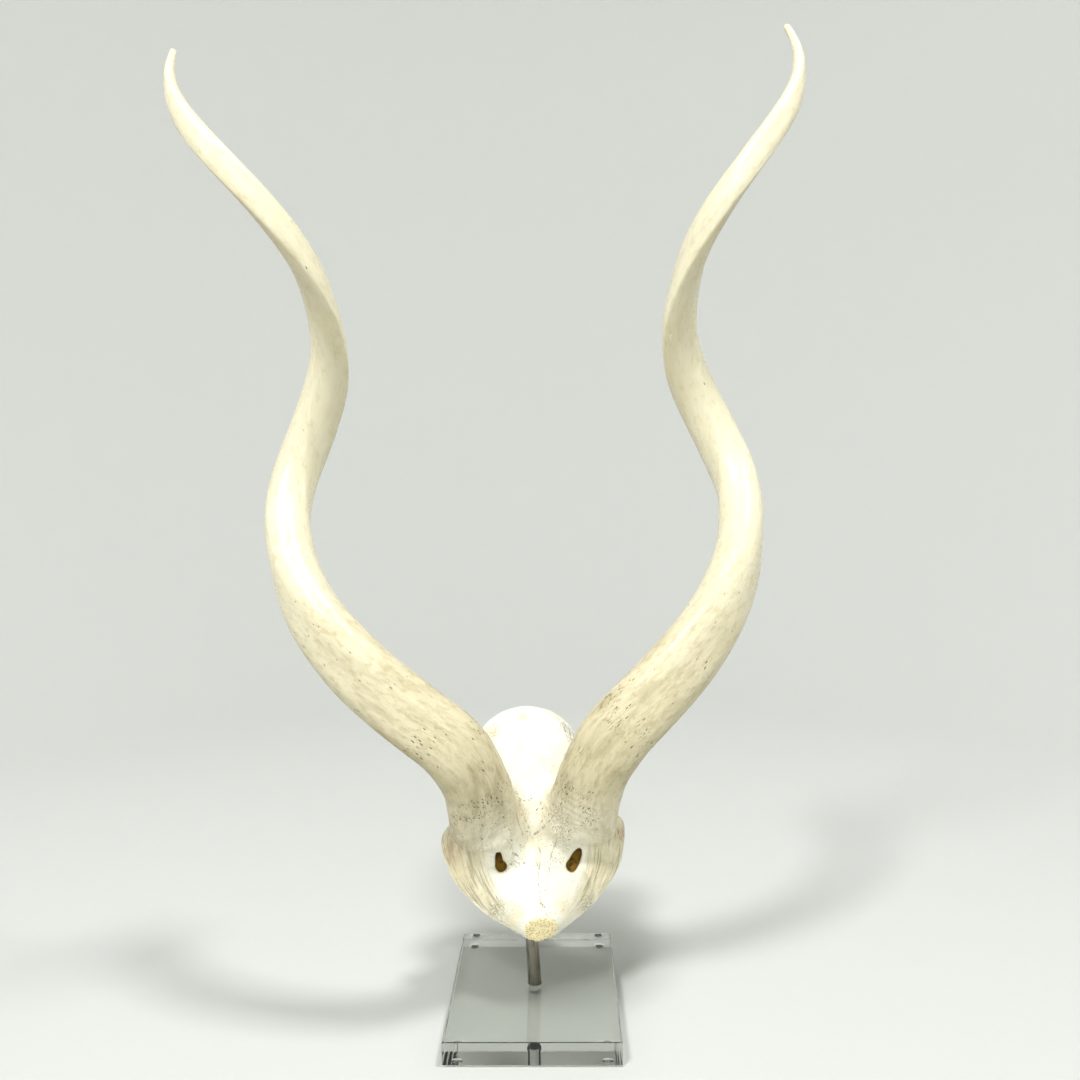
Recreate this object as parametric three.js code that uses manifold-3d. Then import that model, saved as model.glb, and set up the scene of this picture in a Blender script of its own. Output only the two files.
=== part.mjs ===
// A greater kudu's skull cap with its two bare, polished horn cores, held up by
// a steel post in a clear acrylic block. Millimetres, +Z up. The origin is the
// centre of the block's underside, and -Y is the side that the face looks to.
//
// The bone grew as one piece. It is parted at its two forks, where each horn
// core leaves the skull, so that there are three bone solids with a hair gap.

import * as THREE from 'three';
import { mergeVertices } from 'three/addons/utils/BufferGeometryUtils.js';
import Module from 'manifold-3d';

const wasm = await Module();
wasm.setup();

// Driving dimensions of the base
const BLOCK_WIDTH = 150;
const BLOCK_DEPTH = 200;
const BLOCK_HEIGHT = 20;
const BLOCK_EDGE = 0.6;
const FOOT_DIAMETER = 8;
const FOOT_HEIGHT = 1.5;
const FOOT_INSET = 12;
const FOOT_SEAT_DEPTH = 0.6;
const FIT_GAP = 0.3;

// Driving dimensions of the post, which stands parallel to the head's own upright
const POST_DIAMETER = 12;
const POST_STUB_DIAMETER = 8;
const POST_STUB_LENGTH = 12.2;
const POST_TOP = 114;
const HOLE_DIAMETER = 11.2;
const HOLE_DEPTH = 16.5;
const HOLE_SEAT_DIAMETER = 12.8;
const HOLE_SEAT_DEPTH = 2;

// How the head stands over the block: a little to the right, turned and tipped
const HEAD_SHIFT = 13.35;
const HEAD_TURN = 0.09;
const HEAD_TIP = 0.048;

// The skull cap lies on its saw cut, which climbs towards the back from the tip
// of the frontal bone. x is across, v along the cut and w square out of it.
const CUT_START = new THREE.Vector3(0, -24, 69);
const CUT_SLOPE = Math.atan(1.25);
const ALONG_CUT = new THREE.Vector3(0, Math.cos(CUT_SLOPE), Math.sin(CUT_SLOPE));
const OUT_OF_CUT = new THREE.Vector3(0, -Math.sin(CUT_SLOPE), Math.cos(CUT_SLOPE));

// Half width of the cap's outline by distance along the cut
const OUTLINE = [
  [-3, 0], [0, 4], [4, 13], [10, 23], [20, 39], [34, 58], [58, 77], [80, 85], [99, 87.5],
  [107, 85], [114, 76], [122, 66], [134, 54], [146, 48], [160, 42], [176, 20], [186, 0],
];
const OUTLINE_END = 186;
// Height of the middle line above the cut, and height of the outer rim
const CROWN = [
  [-5, 12], [4, 17], [14, 20], [34, 21], [52, 19], [70, 18], [90, 20], [112, 27], [132, 33], [160, 40],
];
const RIM = [[-5, 0], [40, 0], [66, 3], [100, 9], [120, 12], [160, 6]];

// The middle line stands a little left of the horns' own, most of all at the tip
const SKULL_SHIFT = -3.5;
const TIP_SHIFT = -1.8;
const TIP_SHIFT_END = 60;

// The tip of the frontal bone is sawn off at a slant
const SAWN_TIP_START = 1;
const SAWN_TIP_SLANT = 54;

// The two smooth mounds under the foramina, and the dished hollows round them
const MOUND = { x: 27, v: 40, height: 5.5, spread: 15 };
const DISH = { x: 35, v: 71, height: -5, spread: 10 };
const BROW = { x: 58, v: 92, height: 3, spread: 16 };
const FORAMEN = { x: 34.5, v: 69, length: 17, width: 10, depth: 24 };

// The braincase and the hollows under the cap
const BRAINCASE = { v: 176, w: 5, rx: 54, rv: 50, rw: 46 };
const BRAINCASE_WALL = 7;
const SINUS = { x: 27, v: 103, w: -2, rx: 16, rv: 22, rw: 22 };
const ORBIT = { x: 62, v: 84, w: -8, rx: 17, rv: 24, rw: 16 };

// The horn cores: a helix about an axis that sweeps out from the head
const HORN_FOOT_HEIGHT = 140;
const HORN_RISE = 750.1;
const HORN_LEAN = 0.03;
const HORN_AXIS_Y = 16;
const AXIS_REACH = 348.4;
const AXIS_RETURN = -0.062;
const AXIS_SWEEP = 334.7;
const AXIS_SWEEP_LENGTH = 436.3;
const COIL_RADIUS_LOW = 58.3;
const COIL_RADIUS_TOP = 43.2;
const COIL_START = 0.072;
const COIL_TURNS = 1.558;
const COIL_QUICKENING = 0.241;

// The pedicle bends from the skull into the helix between these two stations
const ROOT_POINT = new THREE.Vector3(-43, 10, 166);
const ROOT_PULL = new THREE.Vector3(-18, -38, 95);
const ROOT_STATION = 0.05;
const JOIN_STATION = 0.175;
const FORK_STATION = 0.115;
const FORK_DRUM_RADIUS = 38;
const FORK_DRUM_HEIGHT = 90;

// The horn section: a soft triangle, widest across, with two keels
const HORN_RADIUS_LOW = 29;
const HORN_RADIUS_TIP = 4.7;
const HORN_TAPER = 1.4;
const SECTION_WIDE = { amount: 0.114, angle: 104.5 };
const SECTION_THREE = { amount: 0.04, angle: 60 };
const KEELS = [
  { angle: -61, low: 0.02, top: 0.13, width: 20 },
  { angle: 180, low: 0.02, top: 0.09, width: 22 },
];
const HORN_SIDES = 20;
const HORN_STEPS = 37;
const LEFT_TIP_STATION = 0.992;
const RIGHT_TIP_STATION = 1;

// The cap's net is made a little past the saw cut and then cut flat
const NET_CELL = 7;
const NET_LOW = [-116, -14, -16];
const NET_HIGH = [116, 238, 160];
const CUT_MARGIN = 8;
const SLIVER = 0.02;
const ROUND_SIDES = 24;
const FOOT_SIDES = 12;
const DEGREE = Math.PI / 180;

// Small helpers

function blendThrough(stations, t) {
  const last = stations.length - 1;
  if (t <= stations[0][0]) return stations[0][1];
  if (t >= stations[last][0]) return stations[last][1];
  let i = 0;
  while (stations[i + 1][0] < t) i += 1;
  const slopeAt = (k) => {
    const a = stations[Math.max(k - 1, 0)];
    const b = stations[Math.min(k + 1, last)];
    return (b[1] - a[1]) / (b[0] - a[0]);
  };
  const [t0, y0] = stations[i];
  const [t1, y1] = stations[i + 1];
  const step = t1 - t0;
  const f = (t - t0) / step;
  const f2 = f * f;
  const f3 = f2 * f;
  const start = (2 * f3 - 3 * f2 + 1) * y0 + (f3 - 2 * f2 + f) * step * slopeAt(i);
  return start + (-2 * f3 + 3 * f2) * y1 + (f3 - f2) * step * slopeAt(i + 1);
}

function smoothMin(a, b, reach) {
  const mix = Math.max(reach - Math.abs(a - b), 0) / reach;
  return Math.min(a, b) - (mix * mix * reach) / 4;
}

function smoothMax(a, b, reach) {
  return -smoothMin(-a, -b, reach);
}

function hill(spot, x, v) {
  const dx = (x - spot.x) / spot.spread;
  const dv = (v - spot.v) / spot.spread;
  return spot.height * Math.exp(-(dx * dx + dv * dv));
}

function ellipsoidField(shape, x, v, w) {
  const k = Math.hypot((x - (shape.x ?? 0)) / shape.rx, (v - shape.v) / shape.rv, (w - shape.w) / shape.rw);
  return (k - 1) * Math.min(shape.rx, shape.rv, shape.rw);
}

// The horn's centre line. Both horns are made on the -X side, and the right one is
// mirrored. side is -1 for the left horn and 1 for the right one.

function axisPoint(s) {
  const rise = s * HORN_RISE;
  const out = -(AXIS_REACH + AXIS_RETURN * rise) + AXIS_SWEEP * Math.exp(-rise / AXIS_SWEEP_LENGTH);
  return new THREE.Vector3(out, HORN_AXIS_Y + HORN_LEAN * rise, HORN_FOOT_HEIGHT + rise);
}

function helixPoint(s) {
  const turn = COIL_START + 2 * Math.PI * COIL_TURNS * (s + COIL_QUICKENING * s * (s - 1));
  const radius = COIL_RADIUS_LOW + (COIL_RADIUS_TOP - COIL_RADIUS_LOW) * s;
  const offset = new THREE.Vector3(radius * Math.cos(turn), -radius * Math.sin(turn), 0);
  return axisPoint(s).add(offset);
}

function hornPoint(s, side) {
  if (s >= JOIN_STATION) return helixPoint(s);
  const root = ROOT_POINT.clone();
  root.x -= side * SKULL_SHIFT;
  const span = JOIN_STATION - ROOT_STATION;
  const f = (s - ROOT_STATION) / span;
  const small = 0.002;
  const end = helixPoint(JOIN_STATION);
  const pull = helixPoint(JOIN_STATION + small).sub(end).multiplyScalar(span / small);
  const f2 = f * f;
  const f3 = f2 * f;
  return new THREE.Vector3()
    .addScaledVector(root, 2 * f3 - 3 * f2 + 1)
    .addScaledVector(ROOT_PULL, f3 - 2 * f2 + f)
    .addScaledVector(end, -2 * f3 + 3 * f2)
    .addScaledVector(pull, f3 - f2);
}

function hornFrame(s, side) {
  const small = 0.001;
  const centre = hornPoint(s, side);
  const along = hornPoint(s + small, side).sub(hornPoint(s - small, side)).normalize();
  const outward = centre.clone().sub(axisPoint(s));
  outward.addScaledVector(along, -outward.dot(along)).normalize();
  const across = new THREE.Vector3().crossVectors(along, outward);
  return { centre, along, outward, across };
}

function sectionRadius(s, angle) {
  const taper = 1 - Math.pow(Math.max(s, 0), HORN_TAPER);
  const radius = HORN_RADIUS_TIP + (HORN_RADIUS_LOW - HORN_RADIUS_TIP) * taper;
  let shape = 1 + SECTION_WIDE.amount * Math.cos(2 * (angle - SECTION_WIDE.angle * DEGREE));
  shape += SECTION_THREE.amount * Math.cos(3 * (angle - SECTION_THREE.angle * DEGREE));
  for (const keel of KEELS) {
    const turn = angle - keel.angle * DEGREE;
    const away = Math.abs(Math.atan2(Math.sin(turn), Math.cos(turn)));
    const sharpness = Math.exp(-away / (keel.width * DEGREE));
    shape += (keel.low + (keel.top - keel.low) * s) * sharpness;
  }
  return radius * shape;
}

// The skull cap's field, negative inside bone, in the cut's own frame

const PEDICLE_FRAMES = 14;
const PEDICLE_PAST_FORK = 0.03;
const PEDICLE_BRIDGE = 30;
const pedicles = [-1, 1].map((side) => {
  const span = FORK_STATION + PEDICLE_PAST_FORK - ROOT_STATION;
  const frames = Array.from({ length: PEDICLE_FRAMES + 1 }, (_, k) => {
    const s = ROOT_STATION + (k / PEDICLE_FRAMES) * span;
    return { s, ...hornFrame(s, side) };
  });
  return { side, frames };
});

function headPoint(x, v, w) {
  return new THREE.Vector3(x, 0, 0)
    .add(CUT_START)
    .addScaledVector(ALONG_CUT, v)
    .addScaledVector(OUT_OF_CUT, w);
}

function pedicleField(x, v, w) {
  const [left, right] = pedicles.map(({ side, frames }) => {
    const point = headPoint(-side * x, v, w);
    let best = Infinity;
    for (const frame of frames) {
      const away = point.clone().sub(frame.centre);
      const lift = away.dot(frame.along);
      const out = away.dot(frame.outward);
      const across = away.dot(frame.across);
      const radius = sectionRadius(frame.s, Math.atan2(across, out));
      best = Math.min(best, Math.hypot(Math.hypot(out, across), 1.6 * lift) - radius);
    }
    return best;
  });
  return smoothMin(left, right, PEDICLE_BRIDGE);
}

function middleLine(v) {
  const fade = Math.min(Math.max(1 - v / TIP_SHIFT_END, 0), 1.1);
  return SKULL_SHIFT + TIP_SHIFT * fade;
}

function capField(x, v, w) {
  const side = Math.abs(x - middleLine(v));
  const half = blendThrough(OUTLINE, v) - Math.max(v - OUTLINE_END, 0);
  const across = Math.min(side / Math.max(half, 0.01), 1.6);
  let top = blendThrough(CROWN, v) * (1 - across * across) + blendThrough(RIM, v);
  top += hill(MOUND, side, v) + hill(DISH, side, v) + hill(BROW, side, v);
  const plate = smoothMax(0.85 * (w - top), 0.9 * (side - half), 8);
  const bone = smoothMin(plate, ellipsoidField(BRAINCASE, x - SKULL_SHIFT, v, w), 16);
  return Math.max(smoothMin(bone, pedicleField(x, v, w), 22), -CUT_MARGIN - w);
}

// Surface nets: one vertex in each cell that the surface crosses

function surfaceNet(field, low, high, cell) {
  const count = low.map((value, axis) => Math.ceil((high[axis] - value) / cell) + 1);
  const [nx, ny, nz] = count;
  const values = new Float64Array(nx * ny * nz);
  const at = (i, j, k) => i + nx * (j + ny * k);
  for (let k = 0; k < nz; k += 1) {
    for (let j = 0; j < ny; j += 1) {
      for (let i = 0; i < nx; i += 1) {
        values[at(i, j, k)] = field(low[0] + i * cell, low[1] + j * cell, low[2] + k * cell);
      }
    }
  }
  const positions = [];
  const vertexOf = new Map();
  for (let k = 0; k < nz - 1; k += 1) {
    for (let j = 0; j < ny - 1; j += 1) {
      for (let i = 0; i < nx - 1; i += 1) {
        const crossing = cellCrossing(values, at, i, j, k);
        if (!crossing) continue;
        vertexOf.set(at(i, j, k), positions.length / 3);
        positions.push(...crossing.map((value, axis) => low[axis] + value * cell));
      }
    }
  }
  const index = [];
  const steps = [[1, 0, 0], [0, 1, 0], [0, 0, 1]];
  for (let k = 1; k < nz - 1; k += 1) {
    for (let j = 1; j < ny - 1; j += 1) {
      for (let i = 1; i < nx - 1; i += 1) {
        const here = values[at(i, j, k)] < 0;
        steps.forEach((step, axis) => {
          const there = values[at(i + step[0], j + step[1], k + step[2])] < 0;
          if (here === there) return;
          const [b, c] = [steps[(axis + 1) % 3], steps[(axis + 2) % 3]];
          const corner = (p, q) => vertexOf.get(at(
            i - p * b[0] - q * c[0],
            j - p * b[1] - q * c[1],
            k - p * b[2] - q * c[2],
          ));
          const quad = [corner(0, 0), corner(1, 0), corner(1, 1), corner(0, 1)];
          if (!here) quad.reverse();
          index.push(quad[0], quad[1], quad[2], quad[0], quad[2], quad[3]);
        });
      }
    }
  }
  return solidFrom(positions, index);
}

function cellCrossing(values, at, i, j, k) {
  const sum = [0, 0, 0];
  let crossings = 0;
  for (let axis = 0; axis < 3; axis += 1) {
    for (let p = 0; p < 2; p += 1) {
      for (let q = 0; q < 2; q += 1) {
        const start = [0, 0, 0];
        start[(axis + 1) % 3] = p;
        start[(axis + 2) % 3] = q;
        const end = [...start];
        end[axis] = 1;
        const a = values[at(i + start[0], j + start[1], k + start[2])];
        const b = values[at(i + end[0], j + end[1], k + end[2])];
        if (a < 0 === b < 0) continue;
        const f = a / (a - b);
        for (let m = 0; m < 3; m += 1) sum[m] += start[m] + (end[m] - start[m]) * f;
        crossings += 1;
      }
    }
  }
  if (crossings === 0) return null;
  return [i + sum[0] / crossings, j + sum[1] / crossings, k + sum[2] / crossings];
}

// Solids to and from buffer geometry

function solidFrom(positions, index) {
  const mesh = new wasm.Mesh({
    numProp: 3,
    vertProperties: Float32Array.from(positions),
    triVerts: Uint32Array.from(index),
  });
  const solid = new wasm.Manifold(mesh);
  if (solid.volume() > 0) return solid;
  const turned = [];
  for (let i = 0; i < index.length; i += 3) turned.push(index[i], index[i + 2], index[i + 1]);
  return solidFrom(positions, turned);
}

function solidOf(geometry, matrix = new THREE.Matrix4()) {
  const placed = geometry.clone().applyMatrix4(matrix);
  placed.deleteAttribute('normal');
  placed.deleteAttribute('uv');
  const merged = mergeVertices(placed, 1e-4);
  return solidFrom(merged.attributes.position.array, Array.from(merged.index.array));
}

function geometryOf(solid) {
  const mesh = solid.getMesh();
  const geometry = new THREE.BufferGeometry();
  geometry.setAttribute('position', new THREE.BufferAttribute(Float32Array.from(mesh.vertProperties), 3));
  geometry.setIndex(Array.from(mesh.triVerts));
  return withoutSlivers(geometry);
}

// Cuts leave a few slivers whose corners nearly meet: those corners are joined
function withoutSlivers(geometry) {
  const merged = mergeVertices(geometry, SLIVER);
  const index = merged.index.array;
  const kept = [];
  for (let i = 0; i < index.length; i += 3) {
    const [a, b, c] = [index[i], index[i + 1], index[i + 2]];
    if (a !== b && b !== c && c !== a) kept.push(a, b, c);
  }
  merged.setIndex(kept);
  merged.computeVertexNormals();
  return merged;
}

function ellipsoidSolid(shape, side, shrink = 0) {
  const geometry = new THREE.IcosahedronGeometry(1, 3);
  geometry.scale(shape.rx - shrink, shape.rv - shrink, shape.rw - shrink);
  geometry.translate(SKULL_SHIFT + side * (shape.x ?? 0), shape.v, shape.w);
  return solidOf(geometry);
}

function rodSolid(diameter, low, high, sides = ROUND_SIDES) {
  const rod = new THREE.CylinderGeometry(diameter / 2, diameter / 2, high - low, sides);
  rod.rotateX(Math.PI / 2);
  rod.translate(0, 0, (low + high) / 2);
  return solidOf(rod);
}

// The frame of the cut, as a matrix from (x, v, w) to the head
const cutToHead = new THREE.Matrix4()
  .makeBasis(new THREE.Vector3(1, 0, 0), ALONG_CUT, OUT_OF_CUT)
  .setPosition(CUT_START);

// What the cap gives up to a horn core: a drum whose end lies square across the horn
function forkDrum(side) {
  const frame = hornFrame(FORK_STATION, side);
  const drum = new THREE.CylinderGeometry(FORK_DRUM_RADIUS, FORK_DRUM_RADIUS, FORK_DRUM_HEIGHT, 32);
  drum.rotateX(Math.PI / 2).translate(0, 0, FORK_DRUM_HEIGHT / 2 - FIT_GAP);
  const matrix = new THREE.Matrix4().makeBasis(frame.outward, frame.across, frame.along);
  matrix.setPosition(frame.centre);
  if (side > 0) matrix.premultiply(new THREE.Matrix4().makeScale(-1, 1, 1));
  return solidOf(drum, matrix);
}

function transformSolid(solid, matrix) {
  const mesh = solid.getMesh();
  const point = new THREE.Vector3();
  const positions = [];
  for (let i = 0; i < mesh.vertProperties.length; i += 3) {
    point.fromArray(mesh.vertProperties, i).applyMatrix4(matrix);
    positions.push(point.x, point.y, point.z);
  }
  return solidFrom(positions, Array.from(mesh.triVerts));
}

// The post's axis in the head's frame, where it is upright
const headToRow = new THREE.Matrix4()
  .makeRotationZ(HEAD_TURN)
  .multiply(new THREE.Matrix4().makeRotationY(-HEAD_TIP))
  .setPosition(HEAD_SHIFT, 0, 0);
const rowToHead = headToRow.clone().invert();
const postFoot = new THREE.Vector3(0, 0, BLOCK_HEIGHT).applyMatrix4(rowToHead);

function skullCapSolid() {
  let cap = surfaceNet(capField, NET_LOW, NET_HIGH, NET_CELL);
  const belowCut = solidOf(new THREE.BoxGeometry(300, 400, 60).translate(0, 100, -30));
  cap = cap.subtract(belowCut);
  const pastTip = new THREE.BoxGeometry(120, 120, 60).translate(0, 0, 30);
  pastTip.rotateX(SAWN_TIP_SLANT * DEGREE).translate(0, SAWN_TIP_START, 0);
  cap = cap.subtract(solidOf(pastTip));
  cap = cap.subtract(ellipsoidSolid(BRAINCASE, 1, BRAINCASE_WALL));
  for (const side of [-1, 1]) {
    cap = cap.subtract(ellipsoidSolid(SINUS, side));
    cap = cap.subtract(ellipsoidSolid(ORBIT, side));
    const hole = new THREE.CylinderGeometry(0.5, 0.4, FORAMEN.depth, 10);
    hole.rotateX(Math.PI / 2);
    hole.scale(FORAMEN.width, FORAMEN.length, 1);
    hole.translate(SKULL_SHIFT + side * FORAMEN.x, FORAMEN.v, 8 + FORAMEN.depth / 2);
    cap = cap.subtract(solidOf(hole));
  }
  cap = transformSolid(cap, cutToHead);
  for (const side of [-1, 1]) cap = cap.subtract(forkDrum(side));
  const socket = rodSolid(POST_DIAMETER + 2 * FIT_GAP, 40, POST_TOP + FIT_GAP);
  const place = new THREE.Matrix4().makeTranslation(postFoot.x, postFoot.y, 0);
  return cap.subtract(transformSolid(socket, place));
}

// One horn core: rings from the fork to the tip, closed at both ends

function hornCoreSolid(side) {
  const tip = side < 0 ? LEFT_TIP_STATION : RIGHT_TIP_STATION;
  const positions = [];
  const index = [];
  const addRing = (s, lift, scale) => {
    const frame = hornFrame(s, side);
    for (let n = 0; n < HORN_SIDES; n += 1) {
      const angle = (2 * Math.PI * n) / HORN_SIDES + KEELS[0].angle * DEGREE;
      const radius = sectionRadius(s, angle) * scale;
      const point = frame.centre.clone()
        .addScaledVector(frame.along, lift)
        .addScaledVector(frame.outward, radius * Math.cos(angle))
        .addScaledVector(frame.across, radius * Math.sin(angle));
      positions.push(point.x * -side, point.y, point.z);
    }
  };
  for (let n = 0; n <= HORN_STEPS; n += 1) {
    addRing(FORK_STATION + (tip - FORK_STATION) * (n / HORN_STEPS), 0, 1);
  }
  const rounded = side < 0 ? [[0.6, 0.8]] : [[2.2, 0.78], [3.6, 0.4]];
  for (const [lift, scale] of rounded) addRing(tip, lift, scale);
  const rings = positions.length / 3 / HORN_SIDES;
  for (let ring = 0; ring < rings - 1; ring += 1) {
    for (let n = 0; n < HORN_SIDES; n += 1) {
      const a = ring * HORN_SIDES + n;
      const b = ring * HORN_SIDES + ((n + 1) % HORN_SIDES);
      index.push(a, b, b + HORN_SIDES, a, b + HORN_SIDES, a + HORN_SIDES);
    }
  }
  const lastRing = (rings - 1) * HORN_SIDES;
  for (let n = 1; n < HORN_SIDES - 1; n += 1) {
    index.push(0, n + 1, n);
    index.push(lastRing, lastRing + n, lastRing + n + 1);
  }
  return solidFrom(positions, index);
}

// The block, with the post's blind hole and a shallow seat for each foot

const footPlaces = [
  { corner: 'front_left', x: -1, y: -1 },
  { corner: 'front_right', x: 1, y: -1 },
  { corner: 'back_left', x: -1, y: 1 },
  { corner: 'back_right', x: 1, y: 1 },
].map(({ corner, x, y }) => ({
  corner,
  x: x * (BLOCK_WIDTH / 2 - FOOT_INSET),
  y: y * (BLOCK_DEPTH / 2 - FOOT_INSET),
}));

function baseBlockSolid() {
  const outline = new THREE.Shape();
  const x = BLOCK_WIDTH / 2 - BLOCK_EDGE;
  const y = BLOCK_DEPTH / 2 - BLOCK_EDGE;
  outline.moveTo(-x, -y);
  outline.lineTo(x, -y);
  outline.lineTo(x, y);
  outline.lineTo(-x, y);
  outline.closePath();
  const block = new THREE.ExtrudeGeometry(outline, {
    depth: BLOCK_HEIGHT - 2 * BLOCK_EDGE,
    bevelEnabled: true,
    bevelThickness: BLOCK_EDGE,
    bevelSize: BLOCK_EDGE,
    bevelSegments: 1,
  });
  block.translate(0, 0, BLOCK_EDGE);
  const above = BLOCK_HEIGHT + 10;
  let solid = solidOf(block);
  solid = solid.subtract(rodSolid(HOLE_DIAMETER, BLOCK_HEIGHT - HOLE_DEPTH, above));
  solid = solid.subtract(rodSolid(HOLE_SEAT_DIAMETER, BLOCK_HEIGHT - HOLE_SEAT_DEPTH, above));
  for (const { x, y } of footPlaces) {
    const seat = rodSolid(FOOT_DIAMETER + 4 * FIT_GAP, -10, FOOT_SEAT_DEPTH, FOOT_SIDES);
    solid = solid.subtract(transformSolid(seat, new THREE.Matrix4().makeTranslation(x, y, 0)));
  }
  return solid;
}

function postGeometry() {
  const foot = postFoot.z - HOLE_SEAT_DEPTH + 2 * FIT_GAP;
  const stub = foot - POST_STUB_LENGTH;
  const profile = [
    [0, stub], [POST_STUB_DIAMETER / 2 - 0.8, stub], [POST_STUB_DIAMETER / 2, stub + 0.8],
    [POST_STUB_DIAMETER / 2, foot], [POST_DIAMETER / 2 - 0.3, foot], [POST_DIAMETER / 2, foot + 0.3],
    [POST_DIAMETER / 2, POST_TOP - 1], [POST_DIAMETER / 2 - 1, POST_TOP], [0, POST_TOP],
  ];
  const lathe = new THREE.LatheGeometry(profile.map(([r, z]) => new THREE.Vector2(r, z)), ROUND_SIDES);
  lathe.rotateX(Math.PI / 2);
  return geometryOf(solidOf(lathe));
}

function footGeometry() {
  const half = FOOT_DIAMETER / 2;
  const top = FOOT_SEAT_DEPTH - FIT_GAP;
  const profile = [[0, -FOOT_HEIGHT], [half - 0.8, -FOOT_HEIGHT], [half, -0.7], [half, top], [0, top]];
  const lathe = new THREE.LatheGeometry(profile.map(([r, z]) => new THREE.Vector2(r, z)), FOOT_SIDES);
  lathe.rotateX(Math.PI / 2);
  return geometryOf(solidOf(lathe));
}

// Finishes

const skullBone = new THREE.MeshStandardMaterial({ color: 0xe9e4cf, roughness: 0.6, metalness: 0 });
const hornBone = new THREE.MeshStandardMaterial({ color: 0xe2dcc0, roughness: 0.35, metalness: 0 });
const brushedSteel = new THREE.MeshStandardMaterial({ color: 0x6f6c64, roughness: 0.35, metalness: 1 });
const clearAcrylic = new THREE.MeshStandardMaterial({
  color: 0xeef0ec, roughness: 0.04, metalness: 0, transparent: true, opacity: 0.35,
});

function named(name, geometry, material) {
  const mesh = new THREE.Mesh(geometry, material);
  mesh.name = name;
  return mesh;
}

// The whole object

const antelopeHorn = new THREE.Group();

const head = new THREE.Group();
head.position.set(HEAD_SHIFT, 0, 0);
head.rotation.set(0, -HEAD_TIP, HEAD_TURN, 'ZYX');
head.add(named('skull_cap', geometryOf(skullCapSolid()), skullBone));
head.add(named('left_horn_core', geometryOf(hornCoreSolid(-1)), hornBone));
head.add(named('right_horn_core', geometryOf(hornCoreSolid(1)), hornBone));

const post = named('post', postGeometry(), brushedSteel);
post.position.set(postFoot.x, postFoot.y, 0);
head.add(post);
antelopeHorn.add(head);

antelopeHorn.add(named('base_block', geometryOf(baseBlockSolid()), clearAcrylic));
for (const { corner, x, y } of footPlaces) {
  const foot = named(`foot_${corner}`, footGeometry(), clearAcrylic);
  foot.position.set(x, y, 0);
  antelopeHorn.add(foot);
}

export default antelopeHorn;
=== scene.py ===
"""A greater kudu's skull cap and bare horn cores on a steel post in a clear acrylic block.

The bone is one continuous mesh: a skull cap from an implicit shape, with two horn cores swept
along a widening helix and grown into it. Sizes are in millimetres until a mesh is made, and the
frame is the CAD part's own: origin under the block's centre, +Z up, -Y towards the viewer.
"""

from __future__ import annotations

import logging
import math
from dataclasses import dataclass
from enum import Enum

import bmesh
import bpy
import numpy as np
from mathutils import Matrix, Vector
from mathutils.kdtree import KDTree

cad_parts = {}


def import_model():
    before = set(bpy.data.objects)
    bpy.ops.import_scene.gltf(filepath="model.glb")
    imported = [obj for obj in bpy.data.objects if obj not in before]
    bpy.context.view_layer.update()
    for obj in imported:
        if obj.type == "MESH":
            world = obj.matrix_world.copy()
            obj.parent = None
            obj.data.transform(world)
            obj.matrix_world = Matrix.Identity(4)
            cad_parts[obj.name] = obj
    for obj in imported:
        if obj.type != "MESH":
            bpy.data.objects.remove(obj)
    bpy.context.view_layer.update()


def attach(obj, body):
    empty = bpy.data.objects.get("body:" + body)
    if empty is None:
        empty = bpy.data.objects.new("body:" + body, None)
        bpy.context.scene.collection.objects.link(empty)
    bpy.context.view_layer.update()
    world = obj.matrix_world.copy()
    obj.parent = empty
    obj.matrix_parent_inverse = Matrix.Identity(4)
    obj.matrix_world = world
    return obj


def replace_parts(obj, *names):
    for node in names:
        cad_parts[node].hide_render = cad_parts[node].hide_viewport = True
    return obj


log = logging.getLogger("kudu")

MM = 0.001
SEED = 4108
BONE_NODES = ("skull_cap", "left_horn_core", "right_horn_core")
FOOT_NODES = ("foot_front_left", "foot_front_right", "foot_back_left", "foot_back_right")

Pairs = tuple[tuple[float, float], ...]


class Side(Enum):
    """The two sides of the head, as the viewer sees them."""

    LEFT = -1
    RIGHT = 1


# Small helpers


def linear(hex_colour: str) -> tuple[float, float, float, float]:
    """Turns an sRGB hex colour into linear RGBA.

    Args:
        hex_colour: Six hex digits, such as "e9e4cf".

    Returns:
        The colour as linear red, green, blue and an alpha of one.
    """
    parts = [int(hex_colour[i:i + 2], 16) / 255 for i in (0, 2, 4)]
    red, green, blue = (p / 12.92 if p <= 0.04045 else ((p + 0.055) / 1.055) ** 2.4 for p in parts)
    return (red, green, blue, 1.0)


def add_node(tree: bpy.types.NodeTree, kind: str, settings: dict | None = None,
             **links: object) -> bpy.types.Node:
    """Adds a node, sets its properties, and fills or links its inputs.

    Args:
        tree: The node tree that takes the node.
        kind: The node's type name.
        settings: Properties of the node itself.
        links: Inputs by name, with _ for a space, or by index as in0. A socket is linked and a
            value is set.

    Returns:
        The new node.
    """
    node = tree.nodes.new(kind)
    for name, value in (settings or {}).items():
        setattr(node, name, value)
    for name, value in links.items():
        if name.startswith("in") and name[2:].isdigit():
            socket = node.inputs[int(name[2:])]
        else:
            socket = node.inputs[name.replace("_", " ")]
        if isinstance(value, bpy.types.NodeSocket):
            tree.links.new(value, socket)
        else:
            socket.default_value = value
    return node


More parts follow.
